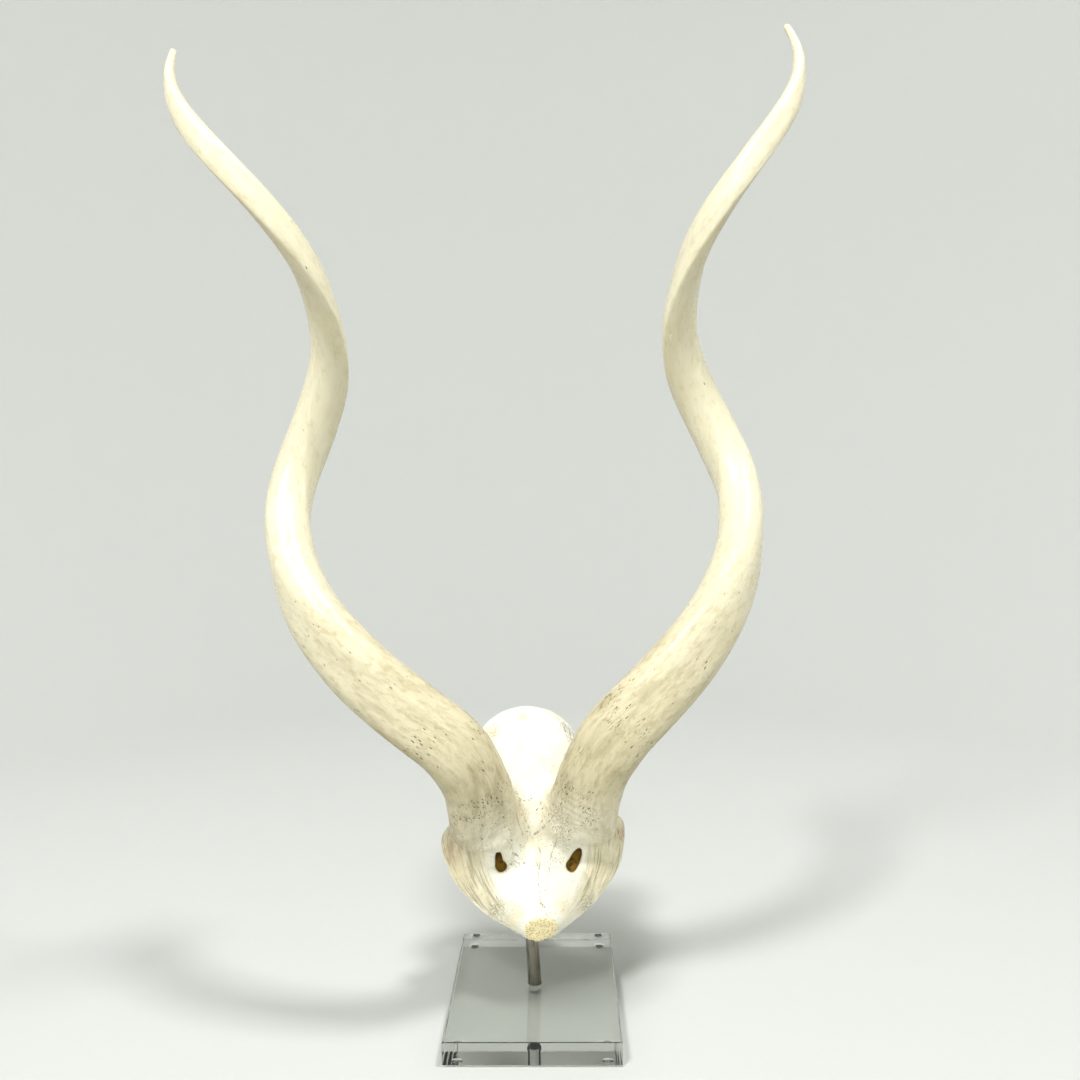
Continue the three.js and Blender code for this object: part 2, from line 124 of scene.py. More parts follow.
def blend_through(stations: Pairs, t: np.ndarray) -> np.ndarray:
    """Follows a smooth curve through stations, level past both ends.

    Args:
        stations: Pairs of place and value, in order of place.
        t: Places to read the curve at.

    Returns:
        The curve's value at each place.
    """
    places = np.array([p for p, _ in stations])
    values = np.array([v for _, v in stations])
    before = np.r_[0, np.arange(len(places) - 1)]
    after = np.r_[np.arange(1, len(places)), len(places) - 1]
    slopes = (values[after] - values[before]) / (places[after] - places[before])
    t = np.clip(t, places[0], places[-1])
    i = np.clip(np.searchsorted(places, t) - 1, 0, len(places) - 2)
    step = places[i + 1] - places[i]
    f = (t - places[i]) / step
    f2, f3 = f * f, f * f * f
    start = (2 * f3 - 3 * f2 + 1) * values[i] + (f3 - 2 * f2 + f) * step * slopes[i]
    return start + (-2 * f3 + 3 * f2) * values[i + 1] + (f3 - f2) * step * slopes[i + 1]


def smooth_min(a: np.ndarray, b: np.ndarray, reach: float) -> np.ndarray:
    """The lesser of two fields, with a fillet of about the given reach."""
    mix = np.maximum(reach - np.abs(a - b), 0) / reach
    return np.minimum(a, b) - mix * mix * reach / 4


def smooth_max(a: np.ndarray, b: np.ndarray, reach: float) -> np.ndarray:
    """The greater of two fields, with a rounded edge of about the given reach."""
    return -smooth_min(-a, -b, reach)


def smooth_step(low: float, high: float, t: np.ndarray) -> np.ndarray:
    """Rises smoothly from 0 at low to 1 at high."""
    f = np.clip((t - low) / (high - low), 0, 1)
    return f * f * (3 - 2 * f)


def trail_distance(trail: Pairs, x: np.ndarray, y: np.ndarray) -> np.ndarray:
    """Measures how far points are from a line of straight stretches.

    Args:
        trail: The line's points, in its own plane.
        x: The points' first coordinate.
        y: Their second.

    Returns:
        The distance, below nothing on the line's left.
    """
    best = np.full(np.shape(x), np.inf)
    for (x0, y0), (x1, y1) in zip(trail[:-1], trail[1:]):
        dx, dy = x1 - x0, y1 - y0
        f = np.clip(((x - x0) * dx + (y - y0) * dy) / (dx * dx + dy * dy), 0, 1)
        away = np.hypot(x - x0 - f * dx, y - y0 - f * dy)
        side = np.where((x - x0) * dy - (y - y0) * dx < 0, -1, 1)
        best = np.where(away < np.abs(best), away * side, best)
    return best


class ValueNoise:
    """Smooth seeded noise between -1 and 1 for relief in the mesh."""

    def __init__(self, seed: int) -> None:
        """Fills a repeating lattice of random values."""
        self.size = 32
        self.lattice = np.random.default_rng(seed).uniform(-1, 1, (self.size,) * 3)

    def __call__(self, points: np.ndarray, octaves: int = 1) -> np.ndarray:
        """Reads the noise.

        Args:
            points: Places, with one unit between lattice points.
            octaves: Layers, each twice as fine and half as strong.

        Returns:
            The noise at each place.
        """
        total = np.zeros(len(points))
        for octave in range(octaves):
            p = points * 2 ** octave + 7.3 * octave
            cell = np.floor(p).astype(int)
            f = p - cell
            f = f * f * (3 - 2 * f)
            layer = np.zeros(len(points))
            for corner in range(8):
                bits = np.array([corner & 1, corner >> 1 & 1, corner >> 2])
                weight = np.prod(np.where(bits, f, 1 - f), axis=1)
                layer += weight * self.lattice[tuple(((cell + bits) % self.size).T)]
            total += layer / 2 ** octave
        return total


# The shapes of the bone


@dataclass(frozen=True)
class HeadPlace:
    """How the head stands over the block: a little to the right, turned and tipped."""

    shift: float = 13.35
    turn: float = 0.09
    tip: float = 0.048

    def matrix(self) -> np.ndarray:
        """The 3 by 3 turn from the head's own axes to the frame's."""
        ct, st, cr, sr = math.cos(self.turn), math.sin(self.turn), math.cos(self.tip), math.sin(self.tip)
        turn = np.array([[ct, -st, 0], [st, ct, 0], [0, 0, 1]])
        return turn @ np.array([[cr, 0, -sr], [0, 1, 0], [sr, 0, cr]])

    def to_frame(self, points: np.ndarray) -> np.ndarray:
        """Moves head points to the frame, in millimetres."""
        return points @ self.matrix().T + np.array([self.shift, 0, 0])

    def to_head(self, points: np.ndarray) -> np.ndarray:
        """Moves frame points to the head, in millimetres."""
        return (points - np.array([self.shift, 0, 0])) @ self.matrix()


@dataclass(frozen=True)
class Keel:
    """A ridge that winds along a horn core, at an angle from the outward direction."""

    angle: float
    low: float
    top: float
    width: float


@dataclass(frozen=True)
class HornCore:
    """A horn core on the head's left side: a helix about an axis that sweeps outwards."""

    foot_height: float = 140
    rise: float = 750.1
    lean: float = 0.03
    axis_y: float = 16
    reach: float = 348.4
    pull_in: float = -0.062
    sweep: float = 334.7
    sweep_length: float = 436.3
    coil_low: float = 58.3
    coil_top: float = 43.2
    coil_start: float = 0.072
    coil_turns: float = 1.558
    quickening: float = 0.241
    root: tuple[float, float, float] = (-43, 10, 166)
    root_pull: tuple[float, float, float] = (-18, -38, 95)
    root_shift: float = -3.5
    root_station: float = 0.05
    join_station: float = 0.175
    radius_low: float = 29
    radius_tip: float = 4.7
    taper: float = 1.4
    tip_pinch: float = 0.3
    pinch_start: float = 0.88
    oval: float = 0.114
    oval_angle: float = 104.5
    corners: float = 0.04
    corner_angle: float = 60
    keels: tuple[Keel, ...] = (Keel(-61, 0.0, 0.24, 20), Keel(180, 0.0, 0.15, 22))

    def axis(self, s: np.ndarray) -> np.ndarray:
        """The coil's axis at stations from 0 at the foot to 1 at the tip.

        Args:
            s: Stations from 0 at the foot to 1 at the tip.

        Returns:
            Points of the axis.
        """
        up = s * self.rise
        out = -(self.reach + self.pull_in * up) + self.sweep * np.exp(-up / self.sweep_length)
        return np.stack([out, self.axis_y + self.lean * up, self.foot_height + up], -1)

    def helix(self, s: np.ndarray) -> np.ndarray:
        """The coil itself at stations.

        Args:
            s: Stations along the core.

        Returns:
            Points of the coil.
        """
        turn = self.coil_start + 2 * np.pi * self.coil_turns * (s + self.quickening * s * (s - 1))
        radius = self.coil_low + (self.coil_top - self.coil_low) * s
        return self.axis(s) + np.stack([radius * np.cos(turn), -radius * np.sin(turn), 0 * s], -1)

    def centre(self, s: np.ndarray, side: Side) -> np.ndarray:
        """The core's centre line: the helix, with a bend into the skull at its foot.

        Args:
            s: Stations along the core.
            side: The side of the head, whose roots differ a little.

        Returns:
            Points of the centre line, on the head's left.
        """
        span = self.join_station - self.root_station
        small = 0.002
        join = np.array([self.join_station])
        end = self.helix(join)
        pull = (self.helix(join + small) - end) * span / small
        root = np.array(self.root) - np.array([side.value * self.root_shift, 0, 0])
        f = ((s - self.root_station) / span)[:, None]
        f2, f3 = f * f, f * f * f
        bend = root * (2 * f3 - 3 * f2 + 1) + np.array(self.root_pull) * (f3 - 2 * f2 + f)
        bend = bend + end * (-2 * f3 + 3 * f2) + pull * (f3 - f2)
        return np.where((s >= self.join_station)[:, None], self.helix(s), bend)

    def frames(self, s: np.ndarray, side: Side) -> tuple[np.ndarray, ...]:
        """Centre, lengthwise, outward and crosswise directions at stations.

        Args:
            s: Stations along the core.
            side: Which core.

        Returns:
            The centre line's points, and three directions square to each other.
        """
        small = 0.001
        centre = self.centre(s, side)
        along = self.centre(s + small, side) - self.centre(s - small, side)
        along /= np.linalg.norm(along, axis=1, keepdims=True)
        outward = centre - self.axis(s)
        outward -= along * np.sum(outward * along, axis=1, keepdims=True)
        outward /= np.linalg.norm(outward, axis=1, keepdims=True)
        return centre, along, outward, np.cross(along, outward)

    def radius(self, s: np.ndarray, angle: np.ndarray) -> np.ndarray:
        """The section's radius: a soft triangle, widest across, with two keels.

        Args:
            s: Stations along the core.
            angle: Angles round the core, from the outward direction.

        Returns:
            The radius in millimetres.
        """
        size = self.radius_tip + (self.radius_low - self.radius_tip) * (1 - np.maximum(s, 0) ** self.taper)
        size = size * (1 - self.tip_pinch * smooth_step(self.pinch_start, 1, s))
        shape = 1 + self.oval * np.cos(2 * (angle - math.radians(self.oval_angle)))
        shape = shape + self.corners * np.cos(3 * (angle - math.radians(self.corner_angle)))
        for keel in self.keels:
            away = np.abs(np.angle(np.exp(1j * (angle - math.radians(keel.angle)))))
            height = keel.low + (keel.top - keel.low) * s
            shape = shape + height * np.exp(-away / math.radians(keel.width))
        return size * shape


@dataclass(frozen=True)
class Spot:
    """A soft round spot on the cap: a rise, a dip or a stain, as its strength says."""

    x: float
    v: float
    spread: float
    strength: float

    def at(self, x: np.ndarray, v: np.ndarray) -> np.ndarray:
        """How strongly the spot shows at places."""
        return self.strength * np.exp(-((x - self.x) ** 2 + (v - self.v) ** 2) / self.spread ** 2)


@dataclass(frozen=True)
class Hollow:
    """An egg-shaped space under the cap."""

    x: float
    v: float
    w: float
    rx: float
    rv: float
    rw: float


@dataclass(frozen=True)
class Foramen:
    """A keyhole under the brow: an upright slot that leans outwards, over a rounder foot."""

    x: float
    v: float
    lean: float
    slot_width: float
    foot_shift: float
    out: float = 1.2
    slot_rise: float = 1
    slot_height: float = 10.5
    foot_drop: float = 4.5
    foot_width: float = 4.9
    foot_height: float = 5
    fillet: float = 2


@dataclass(frozen=True)
class SkullCap:
    """The cap on its saw cut: x is across, v runs along the cut and w stands square out of it."""

    cut_start: tuple[float, float, float] = (0, -24, 69)
    cut_slope: float = 1.25
    outline: Pairs = (
        (-3, 0), (0, 4), (4, 13), (10, 23), (20, 39), (34, 58), (58, 77), (80, 85), (99, 87.5),
        (107, 85), (114, 76), (122, 66), (134, 54), (146, 48), (160, 42), (176, 20), (186, 0),
    )
    crown: Pairs = (
        (-5, 12), (4, 17), (14, 20), (34, 21), (52, 19), (70, 18), (90, 20), (112, 27), (132, 33),
        (160, 40),
    )
    rim: Pairs = ((-5, 0), (40, 0), (66, 3), (100, 9), (120, 12), (160, 6))
    middle_shift: float = -3.5
    tip_shift: float = -1.8
    tip_shift_end: float = 60
    sawn_tip_start: float = 1
    sawn_tip_slant: float = 54
    hills: tuple[Spot, ...] = (Spot(27, 40, 15, 5.5), Spot(35, 71, 10, -5), Spot(58, 92, 16, 3))
    holes: tuple[Foramen, ...] = (Foramen(-33.5, 70, 0, 3.4, -2.4), Foramen(34.5, 65, 0.42, 5, -4.2))
    foramen_dive: float = 0.5
    foramen_level: float = 18
    foramen_floor: float = 7
    braincase: Hollow = Hollow(0, 176, 5, 54, 50, 46)
    braincase_wall: float = 7
    hollows: tuple[Hollow, ...] = (Hollow(27, 103, -2, 16, 22, 22), Hollow(62, 84, -8, 17, 24, 16))
    post_place: tuple[float, float] = (-12.3, 1.2)
    post_top: float = 114
    post_radius: float = 6.3
    post_play: float = 0.3
    pedicle_top: float = 0.145
    pedicle_steps: int = 15
    pedicle_sink: float = 4
    pedicle_flatness: float = 1.6
    pedicle_bridge: float = 30
    face_steepness: float = 0.85
    side_steepness: float = 0.9
    rim_round: float = 8
    dome_fillet: float = 16
    pedicle_fillet: float = 22
    cut_round: float = 1.5
    hole_round: float = 2
    hollow_round: float = 3

    def basis(self) -> np.ndarray:
        """Rows are the head-frame directions of x, v and w."""
        angle = math.atan(self.cut_slope)
        return np.array([
            [1, 0, 0],
            [0, math.cos(angle), math.sin(angle)],
            [0, -math.sin(angle), math.cos(angle)],
        ])

    def to_head(self, points: np.ndarray) -> np.ndarray:
        """Moves cut-frame points to the head."""
        return points @ self.basis() + np.array(self.cut_start)

    def to_cut(self, points: np.ndarray) -> np.ndarray:
        """Moves head points to the cut frame."""
        return (points - np.array(self.cut_start)) @ self.basis().T

    def middle(self, v: np.ndarray) -> np.ndarray:
        """Where the skull's middle line runs."""
        fade = np.clip(1 - v / self.tip_shift_end, 0, 1.1)
        return self.middle_shift + self.tip_shift * fade

    def half_width(self, v: np.ndarray) -> np.ndarray:
        """The outline's half width, which falls below nothing past its end."""
        return blend_through(self.outline, v) - np.maximum(v - self.outline[-1][0], 0)

    def top(self, side: np.ndarray, v: np.ndarray) -> np.ndarray:
        """The height of the cap's face over the cut.

        Args:
            side: Distances from the middle line.
            v: Places along the cut.

        Returns:
            The height in millimetres.
        """
        across = np.minimum(side / np.maximum(self.half_width(v), 0.01), 1.6)
        top = blend_through(self.crown, v) * (1 - across * across) + blend_through(self.rim, v)
        for hill in self.hills:
            top = top + hill.at(side, v)
        return top

    def field(self, points: np.ndarray, core: HornCore) -> np.ndarray:
        """The bone's field, negative inside, for cut-frame points.

        Args:
            points: Places in the cut frame, in millimetres.
            core: The horn core that the pedicles lead into.

        Returns:
            A rough signed distance in millimetres.
        """
        x, v, w = points.T
        side = np.abs(x - self.middle(v))
        face = self.face_steepness * (w - self.top(side, v))
        plate = smooth_max(face, self.side_steepness * (side - self.half_width(v)), self.rim_round)
        case, centred = self.braincase, x - self.middle_shift
        bone = smooth_min(plate, self.egg(case, centred, v, w, 0), self.dome_fillet)
        bone = smooth_min(bone, self.pedicles(points, core), self.pedicle_fillet)
        bone = smooth_max(bone, -w, self.cut_round)
        bone = smooth_max(bone, self.past_tip(v, w), self.hole_round)
        bone = smooth_max(bone, -self.egg(case, centred, v, w, self.braincase_wall), self.hole_round)
        for hollow in self.hollows:
            bone = smooth_max(bone, -self.egg(hollow, np.abs(centred), v, w, 0), self.hollow_round)
        bone = smooth_max(bone, -self.foramina(x, v, w), self.hole_round)
        head = self.to_head(points)
        post = np.hypot(head[:, 0] - self.post_place[0], head[:, 1] - self.post_place[1]) - self.post_radius
        return np.maximum(bone, -np.maximum(post, head[:, 2] - self.post_top - self.post_play))

    def past_tip(self, v: np.ndarray, w: np.ndarray) -> np.ndarray:
        """How far places lie past the slanting cut across the cap's tip."""
        slant = math.radians(self.sawn_tip_slant)
        return -(v - self.sawn_tip_start) * math.sin(slant) + w * math.cos(slant)

    @staticmethod
    def egg(shape: Hollow, x: np.ndarray, v: np.ndarray, w: np.ndarray, shrink: float) -> np.ndarray:
        """The field of an egg shape, negative inside.

        Args:
            shape: The egg.
            x: Places across the cap.
            v: Places along the cut.
            w: Heights over the cut.
            shrink: How much smaller the egg is made.

        Returns:
            A rough signed distance in millimetres.
        """
        radii = np.array([shape.rx, shape.rv, shape.rw]) - shrink
        scaled = np.sqrt(((x - shape.x) / radii[0]) ** 2 + ((v - shape.v) / radii[1]) ** 2
                         + ((w - shape.w) / radii[2]) ** 2)
        return (scaled - 1) * radii.min()

    def foramina(self, x: np.ndarray, v: np.ndarray, w: np.ndarray) -> np.ndarray:
        """The two keyhole openings under the brow, which dive back into the bone.

        Args:
            x: Places across the cap.
            v: Places along the cut.
            w: Heights over the cut.

        Returns:
            A rough signed distance in millimetres, negative in the openings.
        """
        nearest = np.full(np.shape(x), np.inf)
        for hole in self.holes:
            side = (x - self.middle_shift) * math.copysign(1, hole.x) - abs(hole.x)
            out = side - hole.out
            up = v - hole.v + self.foramen_dive * (w - self.foramen_level)
            high, low = (up - hole.slot_rise) / hole.slot_height, (up + hole.foot_drop) / hole.foot_height
            slot = np.hypot((out - hole.lean * up) / hole.slot_width, high) - 1
            foot = np.hypot((out - hole.foot_shift) / hole.foot_width, low) - 1
            keyhole = smooth_min(slot * hole.slot_width, foot * hole.foot_width, hole.fillet)
            nearest = np.minimum(nearest, keyhole)
        return np.maximum(nearest, self.foramen_floor - w)

    def pedicles(self, points: np.ndarray, core: HornCore) -> np.ndarray:
        """The stumps that the horn cores grow from, sunk under the cores near their upper end.

        Args:
            points: Places in the cut frame.
            core: The horn core's shape.

        Returns:
            A rough signed distance in millimetres, negative inside.
        """
        stations = np.linspace(core.root_station, self.pedicle_top, self.pedicle_steps)
        nearest = np.full((2, len(points)), np.inf)
        head = self.to_head(points)
        for row, side in enumerate(Side):
            local = head * np.array([-side.value, 1, 1])
            for frame, s in zip(zip(*core.frames(stations, side)), stations):
                centre, along, outward, across = frame
                away = local - centre
                out, over = away @ outward, away @ across
                sunk = self.pedicle_sink * smooth_step(0.1, 0.15, s)
                radius = core.radius(s, np.arctan2(over, out)) - sunk
                reach = np.hypot(np.hypot(out, over), self.pedicle_flatness * (away @ along)) - radius
                nearest[row] = np.minimum(nearest[row], reach)
        return smooth_min(nearest[0], nearest[1], self.pedicle_bridge)


@dataclass(frozen=True)
class Groove:
    """A shallow channel pressed into the cap along a trail of x and v."""

    trail: Pairs
    depth: float
    width: float


@dataclass(frozen=True)
class Lumps:
    """A layer of relief: how high its lumps are, and how big they are each way, in millimetres."""

    height: float
    size: tuple[float, float, float]
    octaves: int = 1
    shift: float = 0

    def at(self, noise: ValueNoise, points: np.ndarray) -> np.ndarray:
        """The layer's height at places."""
        return self.height * noise(points / np.array(self.size) + self.shift, self.octaves)


@dataclass(frozen=True)
class CapMarkings:
    """The sutures, channels, stains and worn rims of the cap, in x and v."""

    far: float = 50
    sutures: tuple[Pairs, ...] = (
        ((-1, 80), (1, 71), (-2, 60), (-4, 48), (-3, 38), (-4, 29)),
        ((-14, 108), (-12, 100), (-9, 96), (-8, 89), (-5, 85)),
        ((-20, 100), (-17, 92), (-15, 88)),
        ((-4, 89), (4, 92), (10, 95), (17, 98)),
        ((-27, 77), (-21, 74), (-17, 69), (-12, 64), (-6, 63)),
        ((15, 80), (11, 74), (9, 67), (7, 59)),
        ((-3, 29), (0, 25), (2, 21)),
        ((1, 19), (2, 14), (6, 9)),
        ((-9, 23), (-8, 17), (-10, 12)),
        ((34, 197), (39, 189), (40, 178)),
        ((29, 200), (34, 190), (36, 179)),
    )
    channels: tuple[Groove, ...] = (
        Groove(((-45, 68), (-50, 58), (-53, 45), (-52, 31)), 1.5, 3),
        Groove(((39, 62), (43, 51), (48, 40), (50, 29)), 1.5, 3),
        Groove(((-27, 77), (-18, 70), (-11, 64)), 1.0, 2.5),
        Groove(((20, 78), (15, 68), (9, 60)), 0.8, 3),
        Groove(((-1, 70), (-3, 48), (-3, 26)), 0.7, 3),
    )
    stains: tuple[Spot, ...] = (
        Spot(-6, 200, 6, 0.8), Spot(12, 171, 4, 0.9), Spot(18, 168, 3, 0.9), Spot(-36, 189, 9, 0.6),
        Spot(-8, 165, 7, 0.3), Spot(-29, 25, 10, 0.8), Spot(23, 29, 11, 0.6), Spot(-22, 112, 10, 0.2),
        Spot(-4, 86, 13, 0.5),
    )
    ears: tuple[Spot, ...] = (Spot(-80, 88, 13, 1.0), Spot(80, 88, 9, 0.8))
    worn: tuple[Spot, ...] = (
        Spot(18, 100, 11, 1.0), Spot(22, 84, 9, 0.9), Spot(-20, 110, 8, 0.6), Spot(41, 27, 8, 1.0),
        Spot(-44, 29, 8, 1.0), Spot(-22, 66, 7, 0.7), Spot(15, 66, 7, 0.7), Spot(-36, 189, 9, 0.8),
        Spot(41, 187, 8, 0.7), Spot(80, 88, 8, 0.9), Spot(-30, 96, 9, 0.5), Spot(0, 20, 8, 0.5),
    )

    @staticmethod
    def spots(spots: tuple[Spot, ...], x: np.ndarray, v: np.ndarray) -> np.ndarray:
        """Adds up soft spots, to one at most."""
        return np.minimum(sum(spot.at(x, v) for spot in spots), 1)

    def suture_lines(self, x: np.ndarray, v: np.ndarray) -> np.ndarray:
        """The signed distance to the nearest suture, so that a line can be drawn finer than the mesh.

        Args:
            x: Places across the cap.
            v: Places along the cut.

        Returns:
            The distance in millimetres, below nothing on a suture's left.
        """
        best = np.full(len(x), self.far)
        for trail in self.sutures:
            away = trail_distance(trail, x, v)
            best = np.where(np.abs(away) < np.abs(best), away, best)
        return best


@dataclass
class BoneMap:
    """Where each point of the bone lies on the cap and along its horn core."""

    cut: np.ndarray
    station: np.ndarray
    horn: np.ndarray
    root: np.ndarray
    grain: np.ndarray
    flow: np.ndarray

    @classmethod
    def of(cls, piece: bpy.types.Object, place: HeadPlace, cap: SkullCap, core: HornCore) -> BoneMap:
        """Measures every point of a piece.

        Args:
            piece: The bone.
            place: How the head stands.
            cap: The cap's shape.
            core: The horn cores' shape.

        Returns:
            The map, point by point.
        """
        head = place.to_head(points_of(piece))
        stations = np.linspace(0.03, 1.01, 500)
        # Below this station the core bends into the skull, and its pores still run straight on
        straight = np.searchsorted(stations, 0.16)
        count = len(head)
        nearest = np.full(count, np.inf)
        station, angle, ratio = np.zeros(count), np.zeros(count), np.full(count, 9.0)
        flow = np.zeros((count, 3))
        for side in Side:
            flip = np.array([-side.value, 1, 1])
            centre, along, outward, across = core.frames(stations, side)
            tree = KDTree(len(stations))
            for k, point in enumerate(centre):
                tree.insert(point, k)
            tree.balance()
            local = head * flip
            found = np.array([tree.find(point)[1:] for point in local])
            k, reach = found[:, 0].astype(int), found[:, 1]
            away = local - centre[k]
            out, over = (away * outward[k]).sum(1), (away * across[k]).sum(1)
            lift = (away * along[k]).sum(1)
            turn = np.arctan2(over, out)
            mine = reach < nearest
            nearest[mine] = reach[mine]
            pace = np.linalg.norm(centre[1] - centre[0]) / (stations[1] - stations[0])
            station[mine] = (stations[k] + lift / max(pace, 1))[mine]
            angle[mine] = (side.value * turn)[mine]
            ratio[mine] = (np.hypot(out, over) / core.radius(stations[k], turn))[mine]
            flow[mine] = (along[np.maximum(k, straight)] * flip)[mine]
        # The polish starts a little way up, and the root's tan fades out well below it
        horn = smooth_step(0.075, 0.14, station) * (1 - smooth_step(1.12, 1.4, ratio))
        root = smooth_step(0.0, 0.11, station) * (1 - smooth_step(1.05, 1.8, ratio))
        spaced = core.centre(stations, Side.LEFT)
        lengths = np.r_[0, np.cumsum(np.linalg.norm(np.diff(spaced, axis=0), axis=1))]
        around = core.radius(station, np.zeros(count) + 2.0)
        grain = np.stack([
            around * np.cos(angle), around * np.sin(angle), np.interp(station, stations, lengths),
        ], 1)
        # The right core reads its patterns from another place, so that the two differ
        grain[:, 0] += np.where(head[:, 0] > 0, 200, 0)
        return cls(cap.to_cut(head), station, horn, root, grain, flow @ place.matrix().T)


# From fields and sweeps to meshes


def vectors(items: bpy.types.bpy_prop_collection, name: str) -> np.ndarray:
    """Reads one vector of each item of a mesh."""
    values = np.zeros(len(items) * 3, np.float32)
    items.foreach_get(name, values)
    return values.reshape(-1, 3).astype(float)


def points_of(piece: bpy.types.Object) -> np.ndarray:
    """The points of a mesh in millimetres."""
    return vectors(piece.data.vertices, "co") / MM


def normals_of(piece: bpy.types.Object) -> np.ndarray:
    """The normals of a mesh's points."""
    return vectors(piece.data.vertex_normals, "vector")


def move_points(piece: bpy.types.Object, points: np.ndarray) -> None:
    """Puts the points of a mesh back, from millimetres."""
    piece.data.vertices.foreach_set("co", (points * MM).astype(np.float32).ravel())
    piece.data.update()


def eased(piece: bpy.types.Object, weight: np.ndarray, passes: int) -> None:
    """Evens out the points of a mesh where a weight from 0 to 1 asks for it.

    Args:
        piece: The piece to smooth.
        weight: How far each point may move, from 0 to 1.
        passes: How often it is done.
    """
    edges = np.zeros(len(piece.data.edges) * 2, np.int32)
    piece.data.edges.foreach_get("vertices", edges)
    a, b = edges.reshape(-1, 2).T
    points = points_of(piece)
    count = np.bincount(np.r_[a, b], minlength=len(points))
    for _ in range(passes):
        total = np.stack([
            np.bincount(a, points[b, m], len(points)) + np.bincount(b, points[a, m], len(points))
            for m in range(3)
        ], 1)
        mean = total / np.maximum(count, 1)[:, None]
        points += (mean - points) * (0.5 * weight)[:, None]
    move_points(piece, points)


def surface_net(low: np.ndarray, cell: float, inside: np.ndarray) -> tuple[np.ndarray, np.ndarray]:
    """Nets the zero surface of a field on a grid.

    Args:
        low: The grid's lowest corner.
        cell: The spacing of the grid.
        inside: The field on the grid, negative inside.

    Returns:
        Vertices, and quads that face outwards.
    """
    negative = inside < 0
    shape = np.array(inside.shape) - 1
    total = np.zeros((*shape, 3))
    count = np.zeros(shape)
    span = [slice(0, n) for n in shape]
    for axis in range(3):
        for p in (0, 1):
            for q in (0, 1):
                start = [0, 0, 0]
                start[(axis + 1) % 3], start[(axis + 2) % 3] = p, q
                end = list(start)
                end[axis] = 1
                a = inside[tuple(slice(s.start + o, s.stop + o) for s, o in zip(span, start))]
                b = inside[tuple(slice(s.start + o, s.stop + o) for s, o in zip(span, end))]
                crossed = (a < 0) != (b < 0)
                f = np.where(crossed, a / np.where(crossed, a - b, 1), 0)
                for m in range(3):
                    total[..., m] += crossed * (start[m] + (end[m] - start[m]) * f)
                count += crossed
    active = count > 0
    number = np.full(tuple(shape), -1)
    number[active] = np.arange(active.sum())
    vertices = (np.argwhere(active) + total[active] / count[active][:, None]) * cell + low
    quads = []
    for axis in range(3):
        here = negative[1:-1, 1:-1, 1:-1]
        there = negative[tuple(slice(2, None) if a == axis else slice(1, -1) for a in range(3))]
        places = np.argwhere(here != there) + 1
        outwards = here[here != there]
        b, c = np.zeros(3, int), np.zeros(3, int)
        b[(axis + 1) % 3] = c[(axis + 2) % 3] = 1
        corners = [places, places - b, places - b - c, places - c]
        quad = np.stack([number[tuple(k.T)] for k in corners], 1)
        quads.append(np.where(outwards[:, None], quad, quad[:, ::-1]))
    return vertices, np.vstack(quads)


def placed(name: str, data: bpy.types.ID) -> bpy.types.Object:
    """Makes an object around its data, at the origin of the scene."""
    made = bpy.data.objects.new(name, data)
    bpy.context.scene.collection.objects.link(made)
    return made


def mesh_object(name: str, vertices: np.ndarray, faces: np.ndarray | list) -> bpy.types.Object:
    """Makes a smooth piece from millimetre points in the frame.

    Args:
        name: The piece's name.
        vertices: Its points, in millimetres.
        faces: The points of each face.

    Returns:
        The new object.
    """
    mesh = bpy.data.meshes.new(name)
    mesh.from_pydata((np.asarray(vertices) * MM).tolist(), [], [list(map(int, f)) for f in faces])
    mesh.validate()
    mesh.shade_smooth()
    return placed(name, mesh)


def baked(piece: bpy.types.Object) -> bpy.types.Mesh:
    """A plain mesh of a piece as its live modifiers make it."""
    graph = bpy.context.evaluated_depsgraph_get()
    return bpy.data.meshes.new_from_object(piece.evaluated_get(graph))


def joined(base: bpy.types.Object, other: bpy.types.Object, how: str) -> bpy.types.Object:
    """Unites or cuts two closed pieces into a new one, and removes both.

    Args:
        base: The piece that is kept or cut.
        other: The piece that is added or taken away.
        how: UNION or DIFFERENCE.

    Returns:
        The new piece, under the first one's name.
    """
    change = base.modifiers.new("join", "BOOLEAN")
    change.operation, change.solver, change.object = how, "MANIFOLD", other
    mesh, name = baked(base), base.name
    for used in (base, other):
        bpy.data.objects.remove(used)
    return placed(name, mesh)


def tube_faces(rings: int, sides: int) -> list[tuple[int, ...]]:
    """Covers a tube whose points come ring by ring, then one for each end.

    Args:
        rings: How many rings the tube has.
        sides: How many points a ring has.

    Returns:
        The quads ring by ring, then both ends' fans, which face outwards on a tube that rises.
    """
    first, last, top = rings * sides, rings * sides + 1, (rings - 1) * sides
    turn = [(n, (n + 1) % sides) for n in range(sides)]
    quads = [(a + i, a + j, a + sides + j, a + sides + i) for a in range(0, top, sides) for i, j in turn]
    return quads + [(first, j, i) for i, j in turn] + [(last, top + i, top + j) for i, j in turn]


def rings_of(profile: Pairs, sides: int) -> list[tuple[float, float, float]]:
    """The points of a profile of radius and height as it is turned, ring by ring."""
    turns = np.arange(sides) * 2 * math.pi / sides
    return [(r * math.cos(a), r * math.sin(a), height) for r, height in profile for a in turns]


def lathe(name: str, profile: Pairs, sides: int, at: tuple[float, float] = (0, 0)) -> bpy.types.Object:
    """Turns a profile of radius and height, which starts and ends on the axis, into a solid.

    Args:
        name: The piece's name.
        profile: Pairs of radius and height, the lowest first.
        sides: How many sides the round has.
        at: Where the axis stands, in x and y.

    Returns:
        The closed solid.
    """
    vertices = rings_of(profile[1:-1], sides) + [(0, 0, profile[0][1]), (0, 0, profile[-1][1])]
    return mesh_object(name, np.array(vertices) + np.array([*at, 0]), tube_faces(len(profile) - 2, sides))


# Finishes


